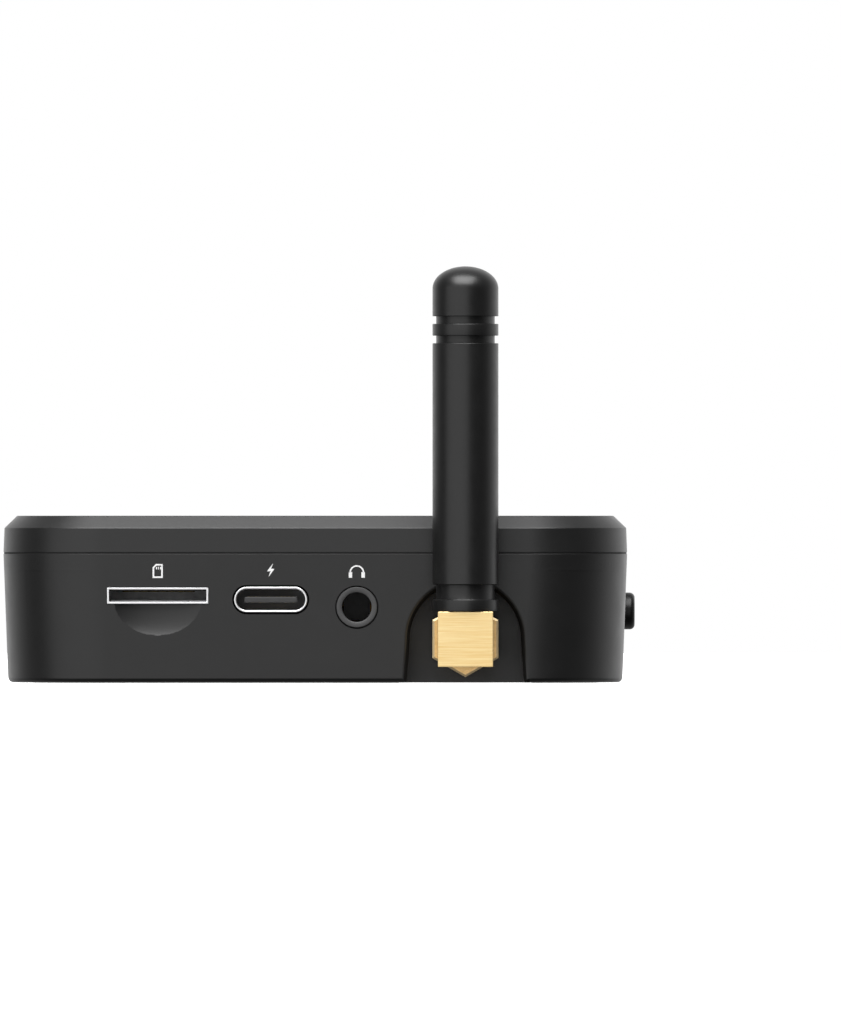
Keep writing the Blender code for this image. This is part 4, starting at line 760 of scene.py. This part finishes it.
bm = flat_outline([(-0.5, -0.5), (0.5, -0.5), (0.5, 0.5), (-0.5, 0.5)])
resize(bm, (bezel_size.x / mm, 1, bezel_size.z / mm))
border_of(bm, BEZEL_RIM)
draw_back(bm, bezel_size.y)
rims = [e for e in bm.edges if e.calc_face_angle(0.0) > RIM_ANGLE]
bevel(bm, rims, BEZEL_EDGE, 2)
move(bm, (bezel_middle.x, bezel_middle.y - bezel_size.y / 2, bezel_middle.z))
finish_piece(shape("card_slot_rim", bm), rim_material, "case", "steel", "tf_slot_bezel")
repaint(black_material, "black_plastic", "tf_socket_base", "tf_slider", "switch_body")

dull_steel = new_material("dull_steel", (0.6, 0.6, 0.61), 0.5, 1.0)
vary_roughness(dull_steel, 1500, 0.5, 0.6)
repaint(dull_steel, "steel", "tf_socket_shell")
# Painted shade: the card socket's gilt fingers get a dark, dull gilt that stands for the shade deep inside the slot.
gilt_painted_shade = new_material("gilt_painted_shade", (0.20, 0.15, 0.07), 0.5, 1.0)
vary_roughness(gilt_painted_shade, 3000, 0.45, 0.55)
repaint(gilt_painted_shade, "gold_plate", "tf_socket_contacts")
repaint(gilt_material, "gold_plate", "aux_sleeve_contact", "aux_ring_contact",
        "aux_tip_contact", "sma_jack_contact", "antenna_feed_pin", "radiator_coil", "coax_receptacle",
        "coax_plug")

# ------------------------------------------------------------------ USB-C port
# A drawn steel shell with a rounded lip that stands just inside its hole, round a black core whose grey tongue
# carries twelve gilt contacts above and below.
USB_SHEET = 0.3 * mm
USB_LIP = 0.12 * mm
TONGUE_WIDTH = 6.5 * mm
TONGUE_THICKNESS = 0.75 * mm
TONGUE_EDGE = 0.18 * mm
CORE_SETBACK = 4.2 * mm
CONTACTS = 12
CONTACT_SETBACK = 0.5 * mm
CONTACT_PITCH = 0.5 * mm
CONTACT_WIDTH = 0.25 * mm
CONTACT_LENGTH = 3.0 * mm
CONTACT_PROUD = 0.004 * mm

bm = pill_bmesh(usb_size.x, usb_size.z)
border_of(bm, USB_SHEET)
draw_back(bm, usb_size.y)
mouth_rims = [e for e in bm.edges if all(abs(v.co.y) < NEAR for v in e.verts)
              and e.calc_face_angle(0.0) > RIM_ANGLE]
bevel(bm, mouth_rims, USB_LIP, 4)
move(bm, (usb_middle.x, usb_middle.y - usb_size.y / 2, usb_middle.z))
finish_piece(shape("usb_c_lip", bm), rim_material, "case", "steel", "usb_c_shell")

tongue_low, tongue_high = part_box("usb_c_tongue")
core_length = usb_size.y - CORE_SETBACK - 2 * USB_SHEET
bm = pill_bmesh(usb_size.x - 2 * USB_SHEET - FIT, usb_size.z - 2 * USB_SHEET - FIT)
deepen(bm, [(tongue_high.y - core_length, 1), (tongue_high.y, 1)])
move(bm, (usb_middle.x, 0, usb_middle.z))
core = shape("usb_c_core", bm)
tongue_length = tongue_high.y - core_length / 2 - tongue_low.y
bm = block_bmesh((usb_middle.x, tongue_low.y + tongue_length / 2, usb_middle.z),
                 (TONGUE_WIDTH, tongue_length, TONGUE_THICKNESS))
bevel(bm, bm.edges[:], TONGUE_EDGE, 3)
combine(core, "UNION", [shape("tongue", bm)])
tongue_material = new_material("tongue_plastic", (0.034, 0.034, 0.0345), 0.5)
vary_colour(tongue_material, 3000, (0.031, 0.031, 0.0315), (0.038, 0.038, 0.0385))
raise_grain(tongue_material, 9000, 0.002 * mm, 0.4)
finish_piece(core, tongue_material, "case", "black_plastic", "usb_c_tongue")

bm = bmesh.new()
for i in range(CONTACTS):
    for side in (-1, 1):
        made = bmesh.ops.create_cube(bm, size=1.0)["verts"]
        bmesh.ops.scale(bm, vec=(CONTACT_WIDTH, CONTACT_LENGTH, 2 * CONTACT_PROUD), verts=made)
        bmesh.ops.translate(bm, vec=(usb_middle.x + (i - (CONTACTS - 1) / 2) * CONTACT_PITCH,
                                     tongue_low.y + CONTACT_SETBACK + CONTACT_LENGTH / 2,
                                     usb_middle.z + side * TONGUE_THICKNESS / 2), verts=made)
finish_piece(shape("usb_c_contacts", bm), gilt_material, "case", "gold_plate", even=False)

# ------------------------------------------------------------------ audio jack
# A moulded grey 3.5 mm socket, soldered to the board's underside. Its barrel fills the hole in the wall, and
# three gilt leaf springs wait in the bore.
AUX_BORE = 1.79 * mm
AUX_EDGE = 0.1 * mm
BARREL_ROOT = 2.0 * mm
HAIR = 0.0001 * mm
grey_material = new_material("grey_plastic", (0.042, 0.042, 0.0425), 0.45)
vary_roughness(grey_material, 1500, 0.4, 0.5)
raise_grain(grey_material, 9000, 0.003 * mm, 0.4)

aux_low, aux_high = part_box("aux_jack_housing")
block_front = -case_half(aux_low.z)[1] + WALL + FIT
bore_end = aux_high.y - WALL


def turned(profile, sides=96, closed=False):
    """A bmesh turned about Z from a profile of (radius, z) points."""
    bm = bmesh.new()
    verts = [bm.verts.new((radius, 0, z)) for radius, z in profile]
    edges = [bm.edges.new(pair) for pair in zip(verts, verts[1:])]
    if closed:
        edges.append(bm.edges.new((verts[-1], verts[0])))
    bmesh.ops.spin(bm, geom=verts + edges, cent=(0, 0, 0), axis=(0, 0, 1), dvec=(0, 0, 0), angle=2 * math.pi,
                   steps=sides, use_merge=True, use_duplicate=False)
    bmesh.ops.remove_doubles(bm, verts=bm.verts, dist=HAIR)
    return bm


def lay_back(bm, x, z):
    """Turn a bmesh that was made about Z so that it lies about Y, with its +Z end towards +Y."""
    turn(bm, -90, "X")
    move(bm, (x, 0, z))
    return bm


def round_rings(bm, places, width, segments=3):
    """Round a turned bmesh's rings at these (radius, z) places."""
    chosen = []
    for e in bm.edges:
        a, b = (v.co for v in e.verts)
        if abs(a.z - b.z) > HAIR or abs(a.xy.length - b.xy.length) > HAIR:
            continue
        if any(abs(a.z - z) < NEAR and abs(a.xy.length - radius) < NEAR for radius, z in places):
            chosen.append(e)
    bevel(bm, chosen, width, segments)
    return bm


barrel = turned([(0, block_front + BARREL_ROOT), (AUX_BARREL, block_front + BARREL_ROOT),
                 (AUX_BARREL, aux_low.y), (0, aux_low.y)])
lay_back(round_rings(barrel, [(AUX_BARREL, aux_low.y)], AUX_EDGE), aux_middle.x, aux_middle.z)
bore = turned([(0, bore_end), (AUX_BORE, bore_end), (AUX_BORE, aux_low.y + AUX_EDGE),
               (AUX_BORE + AUX_EDGE * 0.35, aux_low.y + AUX_EDGE * 0.35),
               (AUX_BORE + AUX_EDGE, aux_low.y), (AUX_BORE + 2 * AUX_EDGE, aux_low.y - AUX_EDGE),
               (0, aux_low.y - AUX_EDGE)])
lay_back(bore, aux_middle.x, aux_middle.z)
housing = block(((aux_low.x + aux_high.x) / 2, (block_front + aux_high.y) / 2, aux_middle.z),
                (aux_high.x - aux_low.x, aux_high.y - block_front, aux_high.z - aux_low.z))
combine(housing, "UNION", [shape("aux_barrel", barrel)])
slots = []
for contact_name in ("aux_sleeve_contact", "aux_ring_contact", "aux_tip_contact"):
    low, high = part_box(contact_name)
    reach_low = Vector((min(low.x, aux_middle.x), low.y, min(low.z, aux_middle.z)))
    reach_high = Vector((max(high.x, aux_middle.x), high.y, max(high.z, aux_middle.z)))
    slots.append(block((reach_low + reach_high) / 2, reach_high - reach_low + 2 * Vector([SLIDE_FIT] * 3)))
combine(housing, "DIFFERENCE", [shape("aux_bore", bore)] + slots)
housing.name = "audio_socket"
finish_piece(housing, grey_material, "case", "grey_plastic", "aux_jack_housing")

# ------------------------------------------------------------------ coaxial jack
# The gilt bulkhead jack in the bay: a threaded tube with a flange, held by a nut and a lock washer behind the
# wall, with a white insulator and a thin lead up to the board.
THREAD_PITCH = 0.7056 * mm
THREAD_DEPTH = 0.3 * mm
THREAD_LEAD = 0.1 * mm
JACK_FLANGE = 1.2 * mm
JACK_FLANGE_EDGE = 0.12 * mm
SOCKET_DEPTH = 1.9 * mm
SOCKET_RADIUS = 2.4 * mm
INSULATOR_BORE = 2.05 * mm
TAIL_RADIUS = 1.6 * mm
jack_low, jack_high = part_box("sma_jack_shell")
flange_front = bay_back - JACK_FLANGE
flange_radius = size("sma_jack_shell").x / 2
tail_start = jack_end + FIT
socket_end = jack_low.y + SOCKET_DEPTH
thread_root = THREAD_RADIUS - THREAD_DEPTH


def thread(start, end):
    """Profile points of a thread's crests and roots, one turn after another from start to end."""
    step = math.copysign(THREAD_PITCH, end - start)
    points = []
    for i in range(int(abs(end - start) / THREAD_PITCH)):
        y = start + i * step
        points += [(THREAD_RADIUS, y + 0.05 * step), (thread_root, y + 0.45 * step),
                   (thread_root, y + 0.55 * step), (THREAD_RADIUS, y + 0.95 * step)]
    return points


profile = [(thread_root, jack_end)] + thread(jack_end - THREAD_LEAD / 2, bay_back + THREAD_LEAD)
profile += [(THREAD_RADIUS, bay_back - FIT / 2), (flange_radius, bay_back - FIT / 2),
            (flange_radius, flange_front), (thread_root, flange_front)]
profile += thread(flange_front - THREAD_LEAD, jack_low.y + 2 * THREAD_LEAD)
profile += [(thread_root, jack_low.y), (SOCKET_RADIUS, jack_low.y), (SOCKET_RADIUS, socket_end),
            (INSULATOR_BORE, socket_end), (INSULATOR_BORE, jack_end), (TAIL_RADIUS * 0.6, jack_end),
            (TAIL_RADIUS * 0.6, jack_high.y), (TAIL_RADIUS, jack_high.y), (TAIL_RADIUS, tail_start),
            (thread_root, tail_start)]
bm = turned(profile, 72, closed=True)
round_rings(bm, [(flange_radius, bay_back - FIT / 2), (flange_radius, flange_front)], JACK_FLANGE_EDGE, 2)
lay_back(bm, nut_middle.x, nut_middle.z)

turned_gold = new_material("turned_gold", (0.88, 0.64, 0.30), 0.28, 1.0)
vary_colour(turned_gold, 900, (0.80, 0.57, 0.25), (0.92, 0.69, 0.34))
vary_roughness(turned_gold, 2500, 0.24, 0.36)
raise_grain(turned_gold, 9000, 0.002 * mm, 0.4)
finish_piece(shape("coaxial_jack", bm), turned_gold, "case", "gold_plate", "sma_jack_shell")
repaint(turned_gold, "gold_plate", "sma_jack_nut")

white_material = new_material("white_insulator", (0.82, 0.82, 0.79), 0.45)
vary_colour(white_material, 1500, (0.78, 0.78, 0.75), (0.86, 0.86, 0.83))
repaint(white_material, "white_insulator", "sma_jack_insulator", "antenna_plug_insulator",
        "antenna_spigot_insulator")
repaint(black_material, "black_plastic", "coax_lead")

# ------------------------------------------------------------------ coupling nut
# A gilt brass hexagon nut, milled from bar, then faced and chamfered at both ends. It turns on the plug's
# snout, where a spring ring holds it, and screws onto the jack.
NUT_CHAMFER = 0.24 * mm
SNOUT = 2.25 * mm
COLLAR = 1.8 * mm
RING_HALF = 0.3 * mm
nut_low, nut_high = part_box("coupling_nut")
bm = bmesh.new()
nut_length = nut_high.y - nut_low.y
bmesh.ops.create_cone(bm, cap_ends=True, segments=6, radius1=nut_corner, radius2=nut_corner, depth=nut_length)
move(bm, (0, 0, nut_low.y + nut_length / 2))
rims = [e for e in bm.edges if abs(e.verts[0].co.z - e.verts[1].co.z) < NEAR]
bevel(bm, rims, NUT_CHAMFER, 1)
lay_back(bm, nut_middle.x, nut_middle.z)
nut = shape("hexagon_nut", bm)
ring_middle = nut_low.y + COLLAR / 2
ring_groove = size("nut_retaining_ring").x / 2 + FIT / 2
bore = turned([(0, nut_high.y + mm), (THREAD_RADIUS + FIT, nut_high.y + mm),
               (THREAD_RADIUS + FIT, nut_low.y + COLLAR),
               (SNOUT + SLIDE_FIT, nut_low.y + COLLAR), (SNOUT + SLIDE_FIT, ring_middle + RING_HALF),
               (ring_groove, ring_middle + RING_HALF), (ring_groove, ring_middle - RING_HALF),
               (SNOUT + SLIDE_FIT, ring_middle - RING_HALF), (SNOUT + SLIDE_FIT, nut_low.y - mm),
               (0, nut_low.y - mm)], 64)
combine(nut, "DIFFERENCE", [shape("nut_bore", lay_back(bore, nut_middle.x, nut_middle.z))])

# Painted shade: the nut's gilt is darker than the plug body's and the jack's, for the shade of the bay it sits in;
# the streaky variation over it is its milling.
nut_gold_painted_shade = new_material("nut_gold_painted_shade", (0.88, 0.64, 0.30), 0.3, 1.0)
vary_colour(nut_gold_painted_shade, 500, (0.64, 0.43, 0.19), (0.74, 0.51, 0.24), stretch=(1, 1, 6))
vary_roughness(nut_gold_painted_shade, 2500, 0.26, 0.38)
raise_grain(nut_gold_painted_shade, 2500, 0.003 * mm, 0.5, stretch=(0.3, 0.3, 4))
finish_piece(nut, nut_gold_painted_shade, "coupling_nut", "gold_plate", "coupling_nut", even=False)

# Its turned chamfers get a rougher, paler gilt than its milled faces; the paleness is a painted highlight of the
# side light that they catch.
nut_edge_highlight = new_material("nut_edge_painted_highlight", (0.95, 0.77, 0.48), 0.6, 1.0)
vary_roughness(nut_edge_highlight, 2500, 0.55, 0.65)
nut.data.materials.append(nut_edge_highlight)
for face in nut.data.polygons:
    if 0.3 < abs(face.normal.y) < 0.95:
        face.material_index = 1

# ------------------------------------------------------------------ elbow
# The plug's square gilt body, milled and brushed across, with the snout that enters the jack and the spigot
# that stands in the sheath.
ELBOW_EDGE = 0.07 * mm
SNOUT_CHAMFER = 0.15 * mm
NECK_DEPTH = 0.375 * mm
SNOUT_BORE = 1.5 * mm
SPIGOT_RADIUS = 2.4 * mm
SPIGOT_BORE = 1.35 * mm
PIN = 0.55 * mm
elbow_low, elbow_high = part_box("antenna_elbow")
sheath_low, sheath_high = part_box("antenna_sheath")
sheath_middle = middle("antenna_sheath")
sheath_radius = (sheath_high.x - sheath_low.x) / 2
elbow_size = elbow_high.x - elbow_low.x
elbow_back = sheath_middle.y + sheath_radius + FIT

bm = block_bmesh((nut_middle.x, (elbow_low.y + elbow_back) / 2, nut_middle.z),
                 (elbow_size, elbow_back - elbow_low.y, elbow_size))
bevel(bm, bm.edges[:], ELBOW_EDGE, 3)
elbow = shape("brushed_elbow", bm)
neck = SNOUT - NECK_DEPTH
snout = turned([(0, elbow_high.y), (SNOUT - SNOUT_CHAMFER, elbow_high.y), (SNOUT, elbow_high.y - SNOUT_CHAMFER),
                (SNOUT, ring_middle + RING_HALF), (neck, ring_middle + RING_HALF), (neck, ring_middle - RING_HALF),
                (SNOUT, ring_middle - RING_HALF), (SNOUT, sheath_middle.y), (0, sheath_middle.y)], 64)
spigot = rod(SPIGOT_RADIUS, (nut_middle.x, sheath_middle.y, nut_middle.z),
             (nut_middle.x, sheath_middle.y, elbow_high.z))
combine(elbow, "UNION", [shape("snout", lay_back(snout, nut_middle.x, nut_middle.z)), spigot])
snout_bore = rod(SNOUT_BORE, (nut_middle.x, sheath_middle.y - PIN, nut_middle.z),
                 (nut_middle.x, elbow_high.y + mm, nut_middle.z))
spigot_bore = rod(SPIGOT_BORE, (nut_middle.x, sheath_middle.y, nut_middle.z - PIN),
                  (nut_middle.x, sheath_middle.y, elbow_high.z + mm))
combine(elbow, "DIFFERENCE", [snout_bore, spigot_bore])

brushed_gold = new_material("brushed_gold", (0.90, 0.66, 0.32), 0.32, 1.0)
vary_colour(brushed_gold, 700, (0.88, 0.62, 0.265), (1.0, 0.79, 0.42), stretch=(0.25, 1, 9), detail=4.0,
            roughness=0.6)
vary_roughness(brushed_gold, 900, 0.28, 0.42, stretch=(0.3, 1, 8))
raise_grain(brushed_gold, 1500, 0.004 * mm, 0.6, stretch=(0.2, 1, 10))
finish_piece(elbow, brushed_gold, "antenna", "gold_plate", "antenna_elbow")

# ------------------------------------------------------------------ sheath
# The antenna's moulded rubber sheath: a domed cap, two grooves, a long barrel, a waist and a collar that
# stands on the elbow.
DOME = 2.7 * mm
CAP = 6.06 * mm
GROOVE = 0.92 * mm
GROOVE_DEPTH = 0.44 * mm
BAND = 1.43 * mm
COLLAR_LENGTH = 1.4 * mm
WAIST_LENGTH = 1.83 * mm
SHEATH_BORE = 2.5 * mm
CROWN = 3.2 * mm
DOME_STEPS = 24
GROOVE_ROUNDING = 0.08 * mm
WAIST_ROUNDING = 0.1 * mm

waist = sheath_radius - GROOVE_DEPTH
foot, top = sheath_low.z, sheath_high.z
angles = [math.radians(90 * i / DOME_STEPS) for i in range(DOME_STEPS + 1)]
profile = [(sheath_radius * math.sin(angle), top - DOME * (1 - math.cos(angle))) for angle in angles]
corners = []
z = top - CAP
for _ in range(2):
    profile += [(sheath_radius, z), (waist, z), (waist, z - GROOVE), (sheath_radius, z - GROOVE)]
    corners += [(sheath_radius, z), (sheath_radius, z - GROOVE)]
    z -= GROOVE + BAND
waist_low = foot + COLLAR_LENGTH
waist_high = waist_low + WAIST_LENGTH
profile += [(sheath_radius, waist_high), (waist, waist_high), (waist, waist_low), (sheath_radius, waist_low),
            (sheath_radius, foot), (SHEATH_BORE, foot), (SHEATH_BORE, top - CROWN), (0, top - CROWN)]
corners += [(sheath_radius, waist_high), (sheath_radius, waist_low), (sheath_radius, foot)]
bm = turned(profile, 128)
round_rings(bm, corners, GROOVE_ROUNDING)
round_rings(bm, [(waist, waist_high), (waist, waist_low)], WAIST_ROUNDING, 2)
move(bm, (sheath_middle.x, sheath_middle.y, 0))

sheath_material = new_material("sheath_rubber", (0.005, 0.005, 0.0051), 0.34)
vary_colour(sheath_material, 250, (0.0044, 0.0044, 0.0045), (0.0056, 0.0056, 0.0057), stretch=(3, 3, 0.4))
vary_roughness(sheath_material, 700, 0.33, 0.39)
raise_grain(sheath_material, 8000, 0.002 * mm, 0.4)
finish_piece(shape("rubber_sheath", bm), sheath_material, "antenna", "sheath_rubber", "antenna_sheath", sharp=40)

# ------------------------------------------------------------------ side button
# A moulded black cap with round ends, kept in by a flange behind the wall. Its nub presses the push switch that
# hangs under the board.
BUTTON_ROUNDING = 0.6 * mm
FLANGE_RIM = 0.6 * mm
FLANGE = 0.8 * mm
NUB_RADIUS = 1.2 * mm
button_low, button_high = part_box("side_button")
flange_out = case_half(button_low.z)[0] - WALL - FIT
cap_start = flange_out - FLANGE / 2


def face_side(bm):
    """Turn a bmesh drawn out along Y so that it is drawn out along X, its deep end outwards."""
    turn(bm, -90, "Z")
    move(bm, (0, 0, button_middle.z))
    return bm


cap_bm = deepen(pill_bmesh(BUTTON_LENGTH, BUTTON_HEIGHT), [(cap_start, 1), (button_high.x, 1)])
outer_rim = [e for e in cap_bm.edges if all(abs(v.co.y - button_high.x) < NEAR for v in e.verts)]
bevel(cap_bm, outer_rim, BUTTON_ROUNDING, 8)
button = shape("gloss_button", face_side(cap_bm))
flange_bm = deepen(pill_bmesh(BUTTON_LENGTH + 2 * FLANGE_RIM, BUTTON_HEIGHT + 2 * FLANGE_RIM),
                   [(flange_out - FLANGE, 1), (flange_out, 1)])
nub = rod(NUB_RADIUS, (button_low.x, 0, button_middle.z), (flange_out - FLANGE / 2, 0, button_middle.z))
combine(button, "UNION", [shape("flange", face_side(flange_bm)), nub])
button_material = new_material("gloss_black", (0.006, 0.006, 0.006), 0.38, specular=0.35)
vary_roughness(button_material, 600, 0.35, 0.42)
raise_grain(button_material, 2500, 0.001 * mm, 0.3)
finish_piece(button, button_material, "side_button", "button_plastic", "side_button")
repaint(button_material, "button_plastic", "switch_plunger")

# ------------------------------------------------------------------ status light
# A frosted clear light pipe, moulded in one piece and pressed into the back wall, in front of a small light
# on the board.
frosted = new_material("frosted_clear", (0.75, 0.79, 0.84), 0.35, transmission=0.5)
vary_roughness(frosted, 2500, 0.28, 0.42)
raise_grain(frosted, 9000, 0.002 * mm, 0.5)
repaint(frosted, "light_guide", "light_pipe", "status_led")

# ------------------------------------------------------------------ board
# The board under the cover with all its parts on its underside: green solder mask over copper, black resin
# chips, a potted coil and bright aluminium cans.
laminate = new_material("solder_mask", (0.008, 0.09, 0.04), 0.4)
nodes, links = laminate.node_tree.nodes, laminate.node_tree.links
tracks = nodes.new("ShaderNodeTexBrick")
tracks.inputs["Color1"].default_value = (0.008, 0.085, 0.038, 1.0)
tracks.inputs["Color2"].default_value = (0.010, 0.105, 0.046, 1.0)
tracks.inputs["Mortar"].default_value = (0.014, 0.14, 0.06, 1.0)
tracks.inputs["Scale"].default_value = 250.0
tracks.inputs["Mortar Size"].default_value = 0.03
place = nodes.new("ShaderNodeTexCoord")
links.new(place.outputs["Object"], tracks.inputs["Vector"])
links.new(tracks.outputs["Color"], nodes["Principled BSDF"].inputs["Base Color"])
vary_roughness(laminate, 900, 0.34, 0.48)
repaint(laminate, "board_laminate", "circuit_board", "bluetooth_module_board")

resin = new_material("chip_resin", (0.016, 0.016, 0.017), 0.6)
vary_colour(resin, 2500, (0.013, 0.013, 0.014), (0.020, 0.020, 0.021))
raise_grain(resin, 9000, 0.004 * mm, 0.5)
repaint(resin, "chip_resin", "audio_converter_chip", "output_amplifier_chip", "voltage_regulator_chip",
        "card_controller_chip")
repaint(grey_material, "grey_plastic", "power_inductor")

can_material = new_material("drawn_aluminium", (0.70, 0.70, 0.71), 0.35, 1.0)
vary_roughness(can_material, 800, 0.28, 0.42, stretch=(1, 1, 0.1))
raise_grain(can_material, 3000, 0.002 * mm, 0.5, stretch=(1, 1, 0.08))
repaint(can_material, "capacitor_can", "capacitor_1", "capacitor_2", "capacitor_3")
